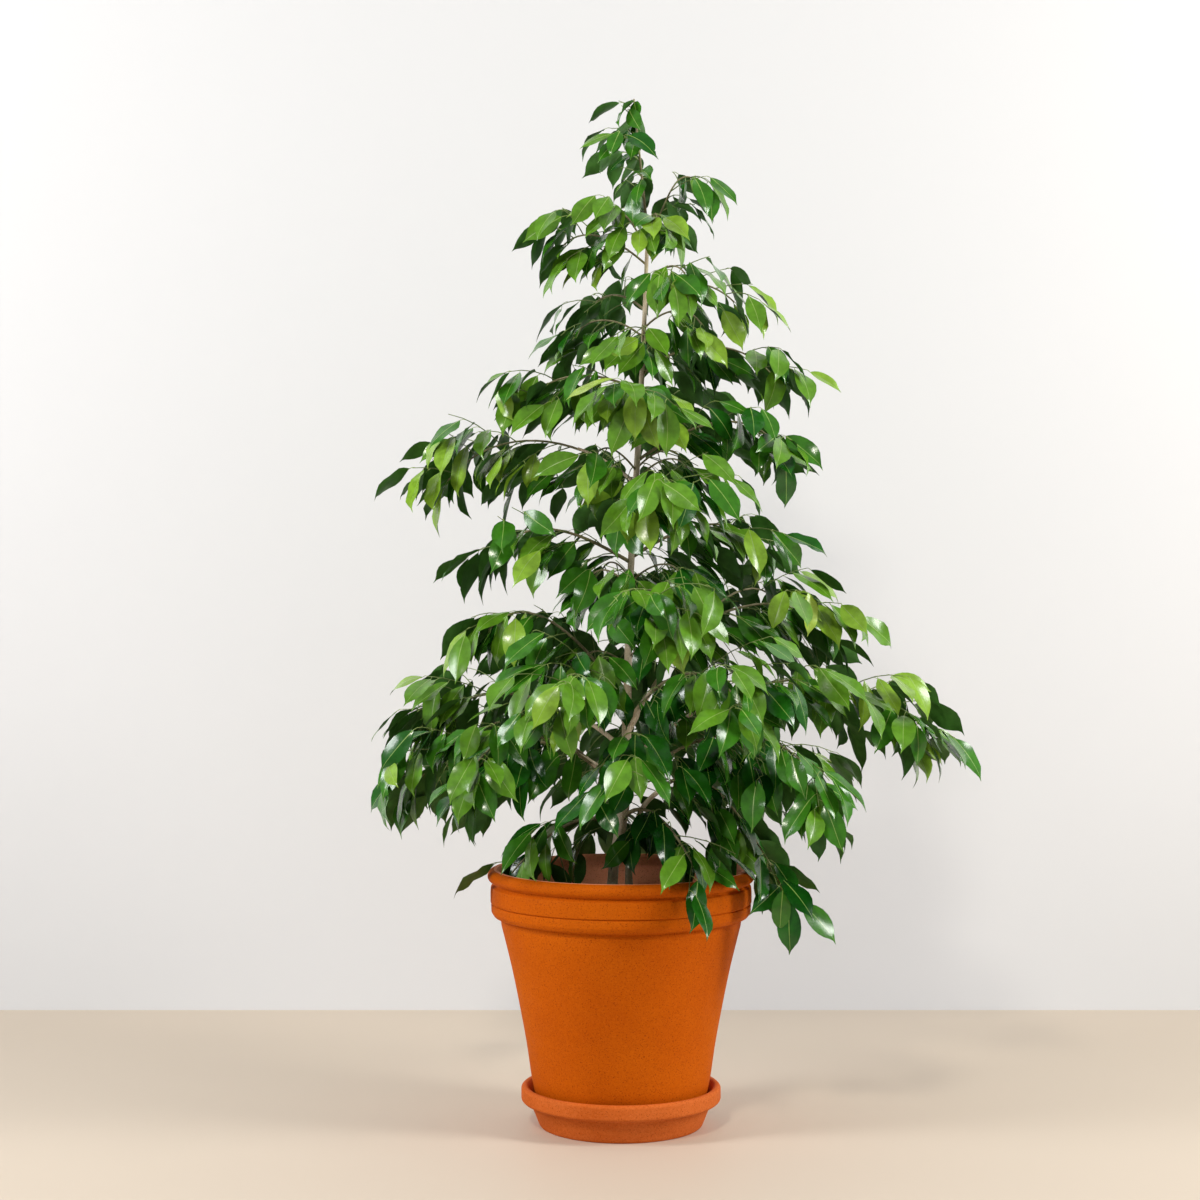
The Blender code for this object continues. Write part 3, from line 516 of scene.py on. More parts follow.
def eased(values, t):
    """Catmull-Rom through a list of tuples, at t counted in steps."""
    k = min(int(t), len(values) - 2)
    f = t - k
    p = [values[min(max(k + d, 0), len(values) - 1)] for d in (-1, 0, 1, 2)]
    out = []
    for a, b, c, d in zip(*p):
        out.append(0.5 * (2 * b + (c - a) * f + (2 * a - 5 * b + 4 * c - d) * f * f + (3 * b - a - 3 * c + d) * f**3))
    return out


def place_along(line, distance):
    for k, (a, b) in enumerate(zip(line, line[1:])):
        step = (b - a).length
        if distance <= step or k == len(line) - 2:
            return a + (b - a) * (distance / step), (b - a).normalized()
        distance -= step
    return None


def line_length(line):
    return sum((b - a).length for a, b in zip(line, line[1:]))


# ---------------------------------------------------------------- growth
class Spaces:
    """Each mass keeps to the space that is nearer to its own line than to any other mass's."""

    def __init__(self, lines):
        self.names = list(lines)
        starts, ends, owner = [], [], []
        for number, name in enumerate(self.names):
            line = [p - UP * SPACE_DROP for p in lines[name]]
            for a, b in zip(line, line[1:]):
                starts.append(a)
                ends.append(b)
                owner.append(number)
        self.a = np.array(starts)
        self.span = np.array(ends) - self.a
        self.square = (self.span**2).sum(1)
        self.owner = np.array(owner)

    def holds(self, name, places):
        number = self.names.index(name)
        p = np.array(places)[:, None, :]
        if (p < INNER_LIMIT).any() or (p > OUTER_LIMIT).any():
            return False
        share = np.clip(((p - self.a) * self.span).sum(2) / self.square, 0, 1)
        d = np.linalg.norm(self.a + self.span * share[..., None] - p, axis=2)
        own = self.owner == number
        return bool((d[:, own].min(1) <= d[:, ~own].min(1)).all())


Leaf = namedtuple("Leaf", "root base along across face length tone bow fold wave phase")


def leaf_corners(leaf):
    """Base, the two sides at the widest place and the tip, which stand for the leaf when it looks for room."""
    half = 0.5 * LEAF_WIDTH * leaf.length
    middle = leaf.base + leaf.along * (0.45 * leaf.length)
    return [leaf.base, middle + leaf.across * half, middle - leaf.across * half, leaf.base + leaf.along * leaf.length]


CORNER_FACES = ((0, 1, 3), (0, 3, 2))


def hanging_leaf(rng, root, ahead, side, length, tone):
    """A leaf on a twig: its stalk springs out to one side, and the blade hangs with its face out and up."""
    out = Vector((ahead.x, ahead.y, 0))
    if out.length < 0.1:
        out = Vector((root.x - 0.02, root.y, 0))
    out.normalize()
    sideways = out.cross(UP) * side
    stalk = (ahead * 0.5 + sideways * 0.8 - UP * rng.uniform(0.0, 0.4)).normalized()
    base = root + stalk * (STALK * rng.uniform(0.7, 1.2))
    blade = out * rng.uniform(*BLADE_OUT) + sideways * rng.uniform(*BLADE_ASIDE) - UP * rng.uniform(*BLADE_DOWN)
    blade.normalize()
    face = out * rng.uniform(*FACE_OUT) + UP * rng.uniform(*FACE_UP) + sideways * rng.uniform(*FACE_ASIDE)
    across = blade.cross(face).normalized()
    face = across.cross(blade)
    return Leaf(root, base, blade, across, face, length, tone, rng.uniform(*LEAF_BOW), rng.uniform(*LEAF_FOLD),
                rng.uniform(*LEAF_WAVE), rng.uniform(*LEAF_PHASE))


def leaf_size(height):
    share = min(1.0, max(0.0, (height - LEAF_SHRINKS_FROM) / LEAF_SHRINKS_OVER))
    return LEAF_LENGTH * (1 + (LEAF_TOP_SHARE - 1) * share)


def bent_twig(root, direction, length, droop):
    points = [root]
    for _ in range(TWIG_STEPS):
        points.append(points[-1] + direction * (length / TWIG_STEPS))
        direction = (direction - UP * droop).normalized()
    return points


def strip_tree(points, radius):
    outline, faces = tube_points(points, [radius] * len(points), 3)
    return BVHTree.FromPolygons(outline, faces)


def grow(seed, stem, spread, thinned, holds, solids, taken):
    """Twigs and leaves along a stem, by the seeded rule of the solids: each is offered a few ways and takes the
    one with the most room; one that would leave the space or touch a limb or another leaf is skipped."""
    rng = random.Random(seed)
    twigs, leaves, grown = [], [], []

    def free(tree):
        return not any(tree.overlap(other) for other in solids) and not any(tree.overlap(o) for o in grown)

    def room(place):
        if not taken:
            return 1.0
        return float(((np.array(taken) - np.array(place)) ** 2).sum(1).min())

    def add_leaf(root, direction, side, tone, scale=1.0):
        share = thinned if math.hypot(root.x, root.y) < THINNED_WITHIN else THINNED_BEYOND
        if OPENING_LEFT < root.x < OPENING_RIGHT and root.z < OPENING_TOP:
            share = OPENING_SHARE
        if rng.random() < share:
            return
        best = None
        for _ in range(LEAF_TRIES):
            length = leaf_size(root.z) * scale * rng.uniform(*LEAF_VARIES)
            leaf = hanging_leaf(rng, root, direction, side, length, tone)
            corners = leaf_corners(leaf)
            if not holds(corners[1:]):
                continue
            tree = BVHTree.FromPolygons(corners, CORNER_FACES)
            if free(tree):
                middle = leaf.base + leaf.along * (0.5 * leaf.length)
                score = room(middle)
                if best is None or score > best[0]:
                    best = (score, leaf, tree, middle)
        if best:
            leaves.append(best[1])
            grown.append(best[2])
            taken.append(tuple(best[3]))

    total = line_length(stem)
    side = rng.choice((-1, 1))
    count = max(5, round(total / TWIG_STEP))
    step = total / (count + 0.4)
    roots = [step * (k + rng.uniform(*TWIG_ROOM)) for k in range(count)]
    base_tone = rng.uniform(*STEM_TONE)
    for distance in roots:
        root, ahead = place_along(stem, distance)
        share = distance / total
        across = ahead.cross(UP).normalized() * side
        above = across.cross(ahead) * side
        full = spread * math.sin(math.pi * (TWIG_ARC_FROM + TWIG_ARC_SPAN * share)) ** TWIG_ARC_POWER
        best = None
        for attempt in range(TWIG_TRIES):
            angle = math.radians(rng.uniform(*TWIG_ANGLE))
            lift = rng.uniform(*TWIG_LIFT)
            direction = ahead * math.cos(angle) + (across + above * lift).normalized() * math.sin(angle)
            length = full * rng.uniform(*TWIG_VARIES) * (1 - TWIG_SHORTER * attempt / TWIG_TRIES)
            points = bent_twig(root, direction, length, rng.uniform(*TWIG_DROOP))
            if holds(points[1:]):
                tree = strip_tree([points[0] + (points[1] - points[0]) * 0.5, *points[1:]], TRIAL_RADIUS)
                if free(tree):
                    score = room(points[-1]) * length
                    if best is None or score > best[0]:
                        best = (score, points, tree)
        if best:
            twigs.append(best[1])
            grown.append(best[2])
        side = -side
    for points in twigs:
        length = line_length(points)
        turn = rng.choice((-1, 1))
        tone = base_tone + rng.uniform(*TWIG_TONE)
        place = TWIG_BARE * length
        while place < length - 0.4 * LEAF_STEP:
            root, ahead = place_along(points, place)
            add_leaf(root, ahead, turn, tone)
            turn = -turn
            place += LEAF_STEP * rng.uniform(*STEP_VARIES)
        root, ahead = place_along(points, length - 0.0003)
        add_leaf(root, ahead, turn, tone + LAST_LEAF_TONE, LAST_LEAF_SIZE)
    for distance in roots:
        side = -side
        root, ahead = place_along(stem, min(total - 0.004, distance + 0.5 * step))
        add_leaf(root, ahead, side, base_tone + rng.uniform(*TWIG_TONE))
    for back in (0.0004, 0.5 * LEAF_STEP, LEAF_STEP):
        root, ahead = place_along(stem, total - back)
        add_leaf(root, ahead, side, base_tone + STEM_TIP_TONE)
        side = -side
    return twigs, leaves


# ---------------------------------------------------------------- leaf blades
ROWS = (0.035, 0.11, 0.22, 0.35, 0.49, 0.63, 0.75, 0.84, 0.91)
WIDTHS = (0.17, 0.46, 0.77, 0.96, 1.00, 0.90, 0.66, 0.33, 0.11)
ACROSS = (-1.0, -0.52, None, None, 0.52, 1.0)  # the middle pair is the midrib, of its own width
BELOW = (-1.0, -0.52, 0.0, 0.52, 1.0)
RIB_HALF, RIB_RISE = 0.00055, 0.00035
SKIN = 0.0007  # thickness of a leaf at its middle line, a little less at its two ends
MARGIN_SWING, MARGIN_WAVES, MARGIN_SHIFT = 0.036, 8.0, 1.9  # a wavy margin, the two sides out of step
TIP_FROM, TIP_SPAN, TIP_DROP, TIP_SWAY = 0.78, 0.22, 0.05, 0.05  # the tip bends down and aside
BLADE_SWAY = 0.03


def blade(leaf):
    """A leaf's upper and lower skins in its own outline: pointed at both ends, with a narrow drip tip, a raised
    midrib and a wavy margin. Returns points and faces of the upper skin, its midrib and the lower skin."""
    half = 0.5 * LEAF_WIDTH * leaf.length

    def at(u, t, width, lift=0.0):
        reach = abs(u) * width * half
        height = leaf.bow * leaf.length * 4 * t * (1 - t) + leaf.fold * reach + lift
        swing = math.sin(MARGIN_WAVES * t * leaf.wave + leaf.phase + (MARGIN_SHIFT if u > 0 else 0))
        height += MARGIN_SWING * leaf.length * abs(u) ** 2 * width * swing
        tip = max(0.0, t - TIP_FROM) / TIP_SPAN
        height -= TIP_DROP * leaf.length * tip * tip * leaf.wave
        sway = leaf.length * (BLADE_SWAY * math.sin(math.pi * t) + TIP_SWAY * tip * tip) * math.sin(leaf.phase)
        ahead, aside = leaf.along * (leaf.length * t), leaf.across * (u * width * half + sway)
        return leaf.base + ahead + aside + leaf.face * height

    top, top_faces, rib_faces = [at(0, 0, 0)], [], []
    for t, width in zip(ROWS, WIDTHS):
        rib = min(0.4, RIB_HALF * (1.25 - t) / (width * half))
        for k, u in enumerate(ACROSS):
            if u is None:
                top.append(at(-rib if k == 2 else rib, t, width, RIB_RISE))
            else:
                top.append(at(u, t, width))
    top.append(at(0, 1, 0))
    last = len(top) - 1
    columns = len(ACROSS)
    for k in range(columns - 1):
        kind = rib_faces if k == 2 else top_faces
        kind.append((0, 1 + k + 1, 1 + k))
        for row in range(len(ROWS) - 1):
            a = 1 + row * columns + k
            kind.append((a, a + 1, a + 1 + columns, a + columns))
        a = 1 + (len(ROWS) - 1) * columns + k
        kind.append((a, a + 1, last))
    low, low_faces = [at(0, 0, 0, -0.0002)], []
    columns = len(BELOW)
    for t, width in zip(ROWS, WIDTHS):
        low += [at(u, t, width, -SKIN * (1 - u * u)) for u in BELOW]
    low.append(at(0, 1, 0, -0.0001))
    last = len(low) - 1
    for k in range(columns - 1):
        low_faces.append((0, 1 + k, 2 + k))
        for row in range(len(ROWS) - 1):
            a = 1 + row * columns + k
            low_faces.append((a, a + columns, a + columns + 1, a + 1))
        a = 1 + (len(ROWS) - 1) * columns + k
        low_faces.append((a, last, a + 1))
    return top, top_faces, rib_faces, low, low_faces


# ---------------------------------------------------------------- build the plant
def bark_relief(seed, amount):
    """Ridges along the limb and rings round it, from noise."""
    def relief(place, turn):
        p = Vector((math.cos(turn) * 1.6, math.sin(turn) * 1.6, place.z * 26 + seed))
        ridge = noise.noise(p * 1.4) * 0.6 + noise.noise(Vector((p.x * 3, p.y * 3, p.z * 1.2))) * 0.4
        ring = max(0.0, noise.noise(Vector((seed * 3.1, 0.7, place.z * 210)))) * 0.5
        return amount * (ridge + ring)
    return relief


def limb_mesh(name, line, radii, sides, amount, seed, node):
    """The bark of a trunk, stem or bough, with its relief of that amount, which replaces its solid."""
    points, faces = tube_points(line, radii, sides, bark_relief(seed, amount))
    made = mesh_object(name, points, faces, [BARK])
    made.data.set_sharp_from_angle(angle=BARK_SHARP)
    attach(made, "root")
    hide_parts(node)


def eased_line(stations, spacing):
    count = max(2, int((stations[-1][0] - stations[0][0]) / spacing))
    line, radii = [], []
    for k in range(count + 1):
        z, x, y, radius = eased(stations, (len(stations) - 1) * k / count)
        line.append(Vector((x, y, z)))
        radii.append(radius)
    return line, radii


TRUNK_SEED, SECOND_STEM_SEED, BOUGH_SEED = 3.0, 7.0, 11.0
TRUNK_RELIEF, SECOND_STEM_RELIEF, BOUGH_RELIEF = 0.00055, 0.00035, 0.00022
RING_SPACING = 0.003
line, radii = eased_line(TRUNK_LINE, RING_SPACING)
limb_mesh("trunk_bark", line, radii, 20, TRUNK_RELIEF, TRUNK_SEED, "trunk")
line, radii = eased_line(SECOND_STEM_LINE, RING_SPACING)
limb_mesh("second_stem_bark", line, radii, 16, SECOND_STEM_RELIEF, SECOND_STEM_SEED, "second_stem")

# The line of each mass's stem, the solids' own coarser line, each bough's line, and the radius at its root.
lines, coarse, bough_lines, roots = {}, {}, {}, {}
for limb in LIMBS:
    start, radius = along(TRUNK_LINE, limb.height)
    corners = limb_corners(start, limb.azimuth, limb.reach, limb.tip, limb.rise)
    roots[limb.name] = min(BOUGH_RADIUS_MOST, radius * BOUGH_RADIUS_SHARE)
    first = BARE_SHARE * limb.bare
    on = 0.0 if limb.name == "wide_right" else REACH_ON
    stem = points_on(corners, first, 1.0, STEM_STEPS)
    lines[limb.name] = [p + heading(limb.azimuth) * (on * (first + (1 - first) * k / STEM_STEPS) ** 2)
                        for k, p in enumerate(stem)]
    coarse[limb.name] = points_on(corners, limb.bare, 1.0, COARSE_STEPS)
    if limb.bare:
        bough_lines[limb.name] = points_on(corners, 0, limb.bare, BOUGH_STEPS)
for shoot in SHOOTS:
    corners = limb_corners(along(TRUNK_LINE, shoot.height)[0], shoot.azimuth, shoot.reach, shoot.tip, shoot.rise)
    lines[shoot.name] = points_on(corners, 0, 1.0, STEM_STEPS)
    coarse[shoot.name] = points_on(corners, 0, 1.0, COARSE_STEPS)
top, top_radius = along(TRUNK_LINE, TRUNK_LINE[-1][0])
for store, steps in ((lines, STEM_STEPS), (coarse, COARSE_STEPS)):
    store["leader"] = [Vector((top.x + LEADER_LEAN * t, top.y, top.z + GAP + (LEADER_TOP - top.z) * t))
                       for t in (k / steps for k in range(steps + 1))]
second_line = [Vector((x, y, z)) for z, x, y, _ in SECOND_STEM_LINE]
stem_end, second_radius = second_line[-1], SECOND_STEM_LINE[-1][3]
ahead = (stem_end - second_line[-2]).normalized()
stem_tip = Vector((0, 0, SECOND_STEM_TIP)) + heading(SECOND_STEM_AZIMUTH) * SECOND_STEM_REACH
pull = LIMB_PULL * (stem_tip - stem_end).length
corners = (stem_end, stem_end + ahead * pull, stem_tip - heading(SECOND_STEM_AZIMUTH, -FALL) * pull, stem_tip)
lines["low_right"] = points_on(corners, 0, 1, STEM_STEPS)
coarse["low_right"] = points_on(corners, 0, 1, COARSE_STEPS)

for number, (name, line) in enumerate(bough_lines.items()):
    steps = len(line) - 1
    radii = [roots[name] * (1 - (1 - BOUGH_TIP_SHARE) * k / steps) for k in range(steps + 1)]
    limb_mesh("bough_bark_" + name, line, radii, 10, BOUGH_RELIEF, BOUGH_SEED + number, "bough_" + name)

# Name, spread and radius at the foot of each stem, in the order that they grow in.
specs = [(limb.name, limb.spread, roots[limb.name] * (BOUGH_TIP_SHARE if limb.bare else 1.0)) for limb in LIMBS]
specs.append(("leader", LEADER_SPREAD, top_radius))
specs.append(("low_right", SECOND_STEM_SPREAD, 0.95 * second_radius))
specs += [(shoot.name, shoot.spread, SHOOT_RADIUS) for shoot in SHOOTS]


def tree_of_node(obj, margin):
    """A solid's faces, swollen by a margin, to test twigs and leaves against."""
    bm = bmesh.new()
    bm.from_mesh(obj.data)
    bmesh.ops.remove_doubles(bm, verts=bm.verts, dist=0.00002)
    bm.normal_update()
    points = [v.co + v.normal * margin for v in bm.verts]
    faces = [[v.index for v in f.verts] for f in bm.faces]
    bm.free()
    return BVHTree.FromPolygons(points, faces)


solid_nodes = [o for n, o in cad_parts.items() if not n.startswith("foliage_")]
limb_trees = [tree_of_node(o, LIMB_MARGIN) for o in solid_nodes]
stem_trees = {}
for name, _, radius in specs:
    line = coarse[name]
    stem_trees[name] = BVHTree.FromPolygons(*tube_points(line, [radius + LIMB_MARGIN] * len(line), 4))

STEM_FINISH, TWIG_FINISH, STALK_FINISH = range(3)
spaces = Spaces(coarse)
taken = []
all_leaves = []
wood = Collected()
for seed, (name, spread, radius) in enumerate(specs):
    stem = lines[name]
    solids = limb_trees + [tree for other, tree in stem_trees.items() if other != name]
    twigs, leaves = grow(GROWTH_SEED + seed, stem, spread, THINNED.get(name, THINNED_ELSE),
                         lambda places: spaces.holds(name, places), solids, taken)
    count = len(stem) - 1
    sizes = [radius + (STEM_TIP_RADIUS - radius) * (k / count) ** STEM_TAPER for k in range(count + 1)]
    wood.tube(stem, sizes, 7, STEM_FINISH)
    for points in twigs:
        steps = len(points) - 1
        sizes = [TWIG_RADIUS + (TWIG_TIP_RADIUS - TWIG_RADIUS) * k / steps for k in range(steps + 1)]
        wood.tube(points, sizes, 5, TWIG_FINISH)
    for leaf in leaves:
        middle = (leaf.root + leaf.base) * 0.5 + UP * STALK_RISE
        line = [leaf.root, middle, leaf.base, leaf.base + leaf.along * STALK_ON_BLADE]
        wood.tube(line, [STALK_RADIUS] * 3 + [STALK_TIP_RADIUS], 4, STALK_FINISH)
    all_leaves.append((name, leaves))

print("leaves in the render:", sum(len(leaves) for _, leaves in all_leaves))
finishes = [YOUNG_BARK, TWIG_GREEN, STALK_GREEN]
sticks = mesh_object("twigs_and_stalks", wood.points, wood.faces, finishes, wood.indices)
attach(sticks, "root")

# The leaves' greens run paler outward and upward: a random spread of tones, with painted light on the outer and upper
# leaves and painted shade on the inner and lower ones.
TONE_SEED = 77
TONE, TONE_OUTWARD, TONE_UPWARD, TONE_VARIES = 1.35, 1.3, 1.3, (-0.8, 0.8)  # paler leaves outside and above
TONE_AXIS, TONE_REACH, TONE_HEIGHT = 0.02, 0.30, 0.6
RIB_FINISH, BELOW_FINISH = len(LEAF_TOPS), len(LEAF_TOPS) + 1
GROUPS = {
    "lower": ("low", "wide"),
    "middle": ("middle", "high"),
    "upper": ("upper", "top", "crown", "tip", "leader"),
}


def tone_of(leaf):
    """Which of the greens a leaf takes: its own random tone, paler outward and upward as painted light, darker inward
    and lower as painted shade.
    """
    outer = min(1.0, math.hypot(leaf.base.x - TONE_AXIS, leaf.base.y) / TONE_REACH)
    tone = TONE + leaf.tone + TONE_OUTWARD * outer + TONE_UPWARD * (leaf.base.z - TONE_HEIGHT)
    return min(len(LEAF_TOPS) - 1, max(0, round(tone + rng.uniform(*TONE_VARIES))))


rng = random.Random(TONE_SEED)
for group, starts in GROUPS.items():
    green = Collected()
    names = []
    for name, leaves in all_leaves:
        if not name.startswith(starts):
            continue
        if "foliage_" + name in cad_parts:
            names.append("foliage_" + name)
        for leaf in leaves:
            upper, upper_faces, rib_faces, low, low_faces = blade(leaf)
            base = len(green.points)
            green.points += upper
            for kind, index in ((upper_faces, tone_of(leaf)), (rib_faces, RIB_FINISH)):
                green.faces += [tuple(base + i for i in face) for face in kind]
                green.indices += [index] * len(kind)
            green.add(low, low_faces, BELOW_FINISH)
    finishes = [*LEAF_TOPS, LEAF_RIB, LEAF_BELOW]
    piece = mesh_object("leaves_" + group, green.points, green.faces, finishes, green.indices)
    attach(piece, "root")
    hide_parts(*names)
    print(group, "faces", len(green.faces))


# ---------------------------------------------------------------- pot, saucer and soil
def own(obj, node, slot_name):
    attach(obj, "root")
    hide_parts(node)


def eased_pairs(pairs, steps):
    """Smooth points through (height, radius) stations, as (radius, height)."""
    out = []
    for k in range((len(pairs) - 1) * steps + 1):
        z, radius = eased(pairs, k / steps)
        out.append((radius, z))
    return out


lip_foot, band_foot = POT_TOP - POT_LIP, POT_BODY[-1][0]
groove = band_foot + 0.4 * (lip_foot - band_foot)
lip_mid = 0.5 * (POT_TOP + lip_foot)
LIP_ROLL, LIP_RISE, LIP_STEPS = 0.0085, 0.0083, 10
outside = [(POT_LIP_RADIUS - LIP_ROLL, POT_TOP)]
for k in range(1, LIP_STEPS):  # the rolled lip
    turn = math.pi * (0.5 - k / LIP_STEPS)
    outside.append((POT_LIP_RADIUS - LIP_ROLL + LIP_ROLL * math.cos(turn), lip_mid + LIP_RISE * math.sin(turn)))
outside += rounded([
    (POT_LIP_RADIUS - 0.006, lip_foot),
    (POT_BAND_RADIUS - 0.0048, lip_foot - 0.0004),
    (POT_BAND_RADIUS - 0.0048, lip_foot - 0.0026),
    (POT_BAND_RADIUS - 0.0006, lip_foot - 0.0050),
    (POT_BAND_RADIUS, lip_foot - 0.012),
    (POT_BAND_RADIUS, groove + 0.0011),
    (POT_BAND_RADIUS - 0.0030, groove),
    (POT_BAND_RADIUS - 0.0008, groove - 0.0011),
    (POT_BAND_RADIUS - 0.0012, band_foot + 0.007),
    (POT_BAND_RADIUS - 0.0048, band_foot + 0.0012),
    (0.1590, band_foot),
    (0.1572, band_foot - 0.0016),
    (0.1580, band_foot - 0.0050),
], 0.0012)
outside += [p for p in reversed(eased_pairs(POT_BODY[2:], 4)) if p[1] < band_foot - 0.009]
outside += [(0.1090, 0.0280), (0.1052, 0.0190), (0.1030, 0.0160), (0.1000, POT_FOOT)]
floor = POT_FOOT + POT_FLOOR
inside = [(DRAIN_RADIUS, POT_FOOT), (DRAIN_RADIUS, floor)]
wall = [(z, radius - POT_WALL) for z, radius in POT_BODY if z > floor]
inside += [(wall[0][1] - 0.004, floor)] + eased_pairs(wall, 3)
inside += rounded([
    (wall[-1][1], wall[-1][0]),
    (POT_LIP_RADIUS - POT_LIP_WALL, lip_foot),
    (POT_LIP_RADIUS - POT_LIP_WALL, POT_TOP - 0.004),
    (POT_LIP_RADIUS - POT_LIP_WALL + 0.004, POT_TOP),
], 0.003)[1:]
pot = turned("pot_clay", outside + inside, [TERRACOTTA, POT_INSIDE], second_from=len(outside))
own(pot, "pot", "terracotta")

SAUCER_FOOT_RADIUS, SAUCER_RIM_RADIUS, SAUCER_HEIGHT = 0.106, 0.131, 0.053
SAUCER_BAND, SAUCER_WALL = 0.021, 0.0105
band = SAUCER_HEIGHT - SAUCER_BAND
inner = SAUCER_RIM_RADIUS - SAUCER_WALL
saucer = rounded([
    (0, SAUCER_FLOOR),
    (0.1035, SAUCER_FLOOR),
    (0.1090, 0.0240),
    (inner, SAUCER_HEIGHT - 0.003),
    (inner + 0.003, SAUCER_HEIGHT),
    (SAUCER_RIM_RADIUS - 0.003, SAUCER_HEIGHT),
    (SAUCER_RIM_RADIUS, SAUCER_HEIGHT - 0.003),
    (SAUCER_RIM_RADIUS, band + 0.003),
    (SAUCER_RIM_RADIUS - 0.003, band),
    (SAUCER_RIM_RADIUS - 0.012, band - 0.001),
    (SAUCER_FOOT_RADIUS + 0.002, 0.003),
    (SAUCER_FOOT_RADIUS, 0),
    (0, 0),
], 0.003, 4)
own(turned("saucer_clay", saucer, [SAUCER_CLAY]), "saucer", "saucer_terracotta")


def soil_build(tree, shader):
    grain = noise_of(tree, 210, 6)
    stops = ((0.30, (0.012, 0.008, 0.005)), (0.52, (0.045, 0.028, 0.017)), (0.70, (0.12, 0.075, 0.042)))
    tree.links.new(ramp_of(tree, grain, stops), shader.inputs["Base Color"])
    put(shader, "Roughness", 0.95)
    bump_of(tree, shader, grain, 0.9, 0.004)


SOIL_CLEAR = 0.0006  # between the soil and the pot's wall
SOIL_FLAT, FLAT_RINGS, FALL_RINGS = 0.06, 10, 14  # it is flat to that radius, then falls to the wall
LUMP, LUMP_SCALE, CRUMB, CRUMB_SCALE = 0.0016, 60, 0.0012, 170
edge = SOIL_TOP - SOIL_FALL
lip_wall = POT_LIP_RADIUS - POT_LIP_WALL - wall[-1][1]
wall_radius = wall[-1][1] + lip_wall * (edge - band_foot) / (lip_foot - band_foot)
fall = wall_radius - SOIL_CLEAR - SOIL_FLAT
profile = [(0, SOIL_TOP)] + [(0.006 * k, SOIL_TOP) for k in range(1, FLAT_RINGS + 1)]
profile += [(SOIL_FLAT + fall * k / FALL_RINGS, SOIL_TOP - SOIL_FALL * k / FALL_RINGS)
            for k in range(1, FALL_RINGS + 1)]
profile += [(radius - SOIL_CLEAR, max(z, floor + GAP)) for z, radius in reversed(wall)]
profile += [(wall[0][1] - 0.0046, floor + GAP), (0, floor + GAP)]
soil = turned("soil_surface", profile, [node_material("potting_soil", soil_build)], 96)
for vertex in soil.data.vertices:
    if vertex.co.z > edge - 0.0005:
        r = math.hypot(vertex.co.x, vertex.co.y)
        fade = min(1.0, max(0.0, (wall_radius - 0.002 - r) / 0.01))
        lumps = noise.noise(vertex.co * LUMP_SCALE) * LUMP + noise.noise(vertex.co * CRUMB_SCALE) * CRUMB
        vertex.co.z += (lumps - 0.5 * CRUMB) * fade
own(soil, "soil", "potting_soil")


# ---------------------------------------------------------------- stage, lights and camera
def stage_plane(name, corners, finish):
    mesh_object(name, corners, [(0, 1, 2, 3)], [finish], smooth=False)


def one_sided(finish):
    """Leaves a stage wall open from behind, so that the plant shows from all sides."""
    tree = finish.node_tree
    side = tree.nodes.new("ShaderNodeNewGeometry")
    clear = tree.nodes.new("ShaderNodeBsdfTransparent")
    either = tree.nodes.new("ShaderNodeMixShader")
    tree.links.new(side.outputs["Backfacing"], either.inputs[0])
    tree.links.new(tree.nodes["Principled BSDF"].outputs[0], either.inputs[1])
    tree.links.new(clear.outputs[0], either.inputs[2])
    tree.links.new(either.outputs[0], tree.nodes["Material Output"].inputs["Surface"])


FLOOR = stage_material("pale_floor", (0.60, 0.51, 0.41), 0.6)
WALL = stage_material("pale_wall", (0.66, 0.668, 0.685), 0.9)
one_sided(WALL)
SIDE, WALL_Y, WALL_TOP = 6, 0.79, 5
stage_plane("floor", [(-SIDE, -SIDE, 0), (SIDE, -SIDE, 0), (SIDE, SIDE, 0), (-SIDE, SIDE, 0)], FLOOR)
stage_plane("backdrop", [(-SIDE, WALL_Y, 0), (SIDE, WALL_Y, 0), (SIDE, WALL_Y, WALL_TOP), (-SIDE, WALL_Y, WALL_TOP)],
            WALL)


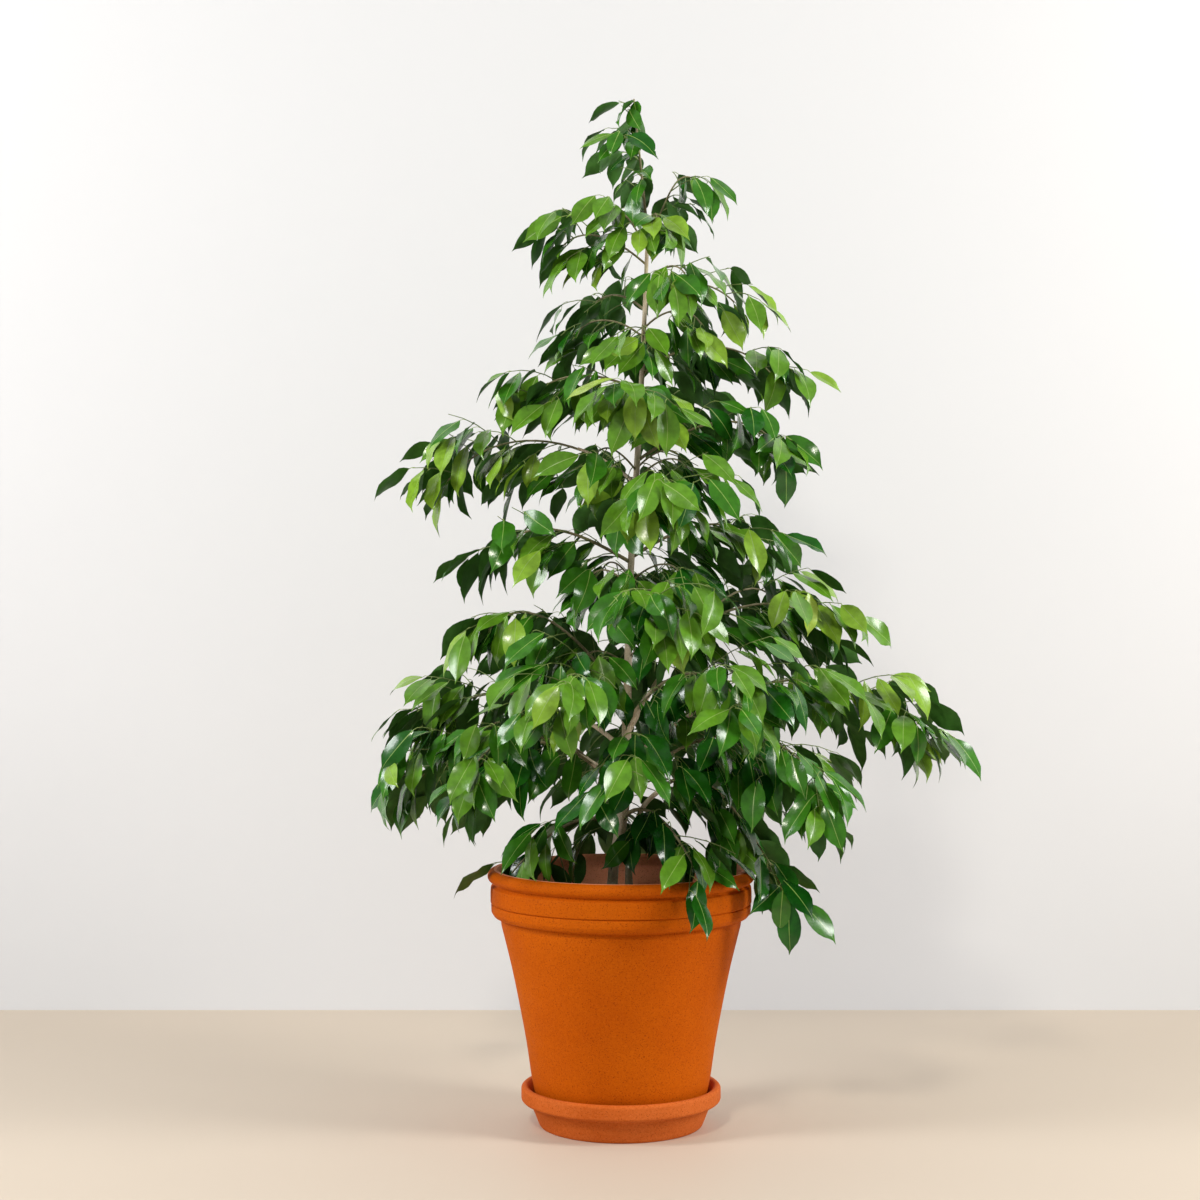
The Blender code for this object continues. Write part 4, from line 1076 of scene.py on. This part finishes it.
def area(name, place, target, size, energy, colour):
    """A rectangular light that looks at a target and that the camera doesn't see."""
    light = bpy.data.lights.new(name, "AREA")
    light.shape = "RECTANGLE"
    light.size, light.size_y = size
    light.energy = energy
    light.color = colour
    made = bpy.data.objects.new(name, light)
    bpy.context.scene.collection.objects.link(made)
    made.location = place
    made.rotation_euler = (Vector(target) - Vector(place)).to_track_quat("-Z", "Y").to_euler()
    made.visible_camera = False


area("left_light", (-2.7, -1.0, 1.9), (0, 0, 0.65), (0.8, 1.4), 70, (0.97, 0.98, 1.0))
area("right_light", (2.7, -1.0, 1.9), (0, 0, 0.65), (0.8, 1.4), 86, (1.0, 0.99, 0.97))
area("front_light", (-0.9, -3.0, 3.0), (0, 0, 0.75), (0.4, 0.4), 50, (1.0, 0.95, 0.84))

# The world lights softly, and the camera sees it as a plain pale backdrop.
world = bpy.data.worlds.new("studio")
bpy.context.scene.world = world
world.use_nodes = True
sky = world.node_tree
ambient = sky.nodes["Background"]
put(ambient, "Color", (0.95, 0.97, 1.0, 1))
put(ambient, "Strength", 0.30)
seen = sky.nodes.new("ShaderNodeBackground")
put(seen, "Color", (0.80, 0.81, 0.83, 1))
ray = sky.nodes.new("ShaderNodeLightPath")
chosen = sky.nodes.new("ShaderNodeMixShader")
sky.links.new(ray.outputs["Is Camera Ray"], chosen.inputs[0])
sky.links.new(ambient.outputs[0], chosen.inputs[1])
sky.links.new(seen.outputs[0], chosen.inputs[2])
sky.links.new(chosen.outputs[0], sky.nodes["World Output"].inputs["Surface"])

# The photo's focal length was found in its pixels, 1200 across the frame.
SENSOR, FOCAL_PIXELS, FRAME_PIXELS = 36, 2166, 1200
camera = bpy.data.cameras.new("camera")
camera.sensor_width = SENSOR
camera.lens = FOCAL_PIXELS / FRAME_PIXELS * SENSOR
eye = bpy.data.objects.new("camera", camera)
bpy.context.scene.collection.objects.link(eye)
eye.location = (-0.0276, -2.85, 0.689)
eye.rotation_euler = (math.radians(90), 0, 0)
bpy.context.scene.camera = eye
bpy.context.scene.view_settings.view_transform = "Standard"
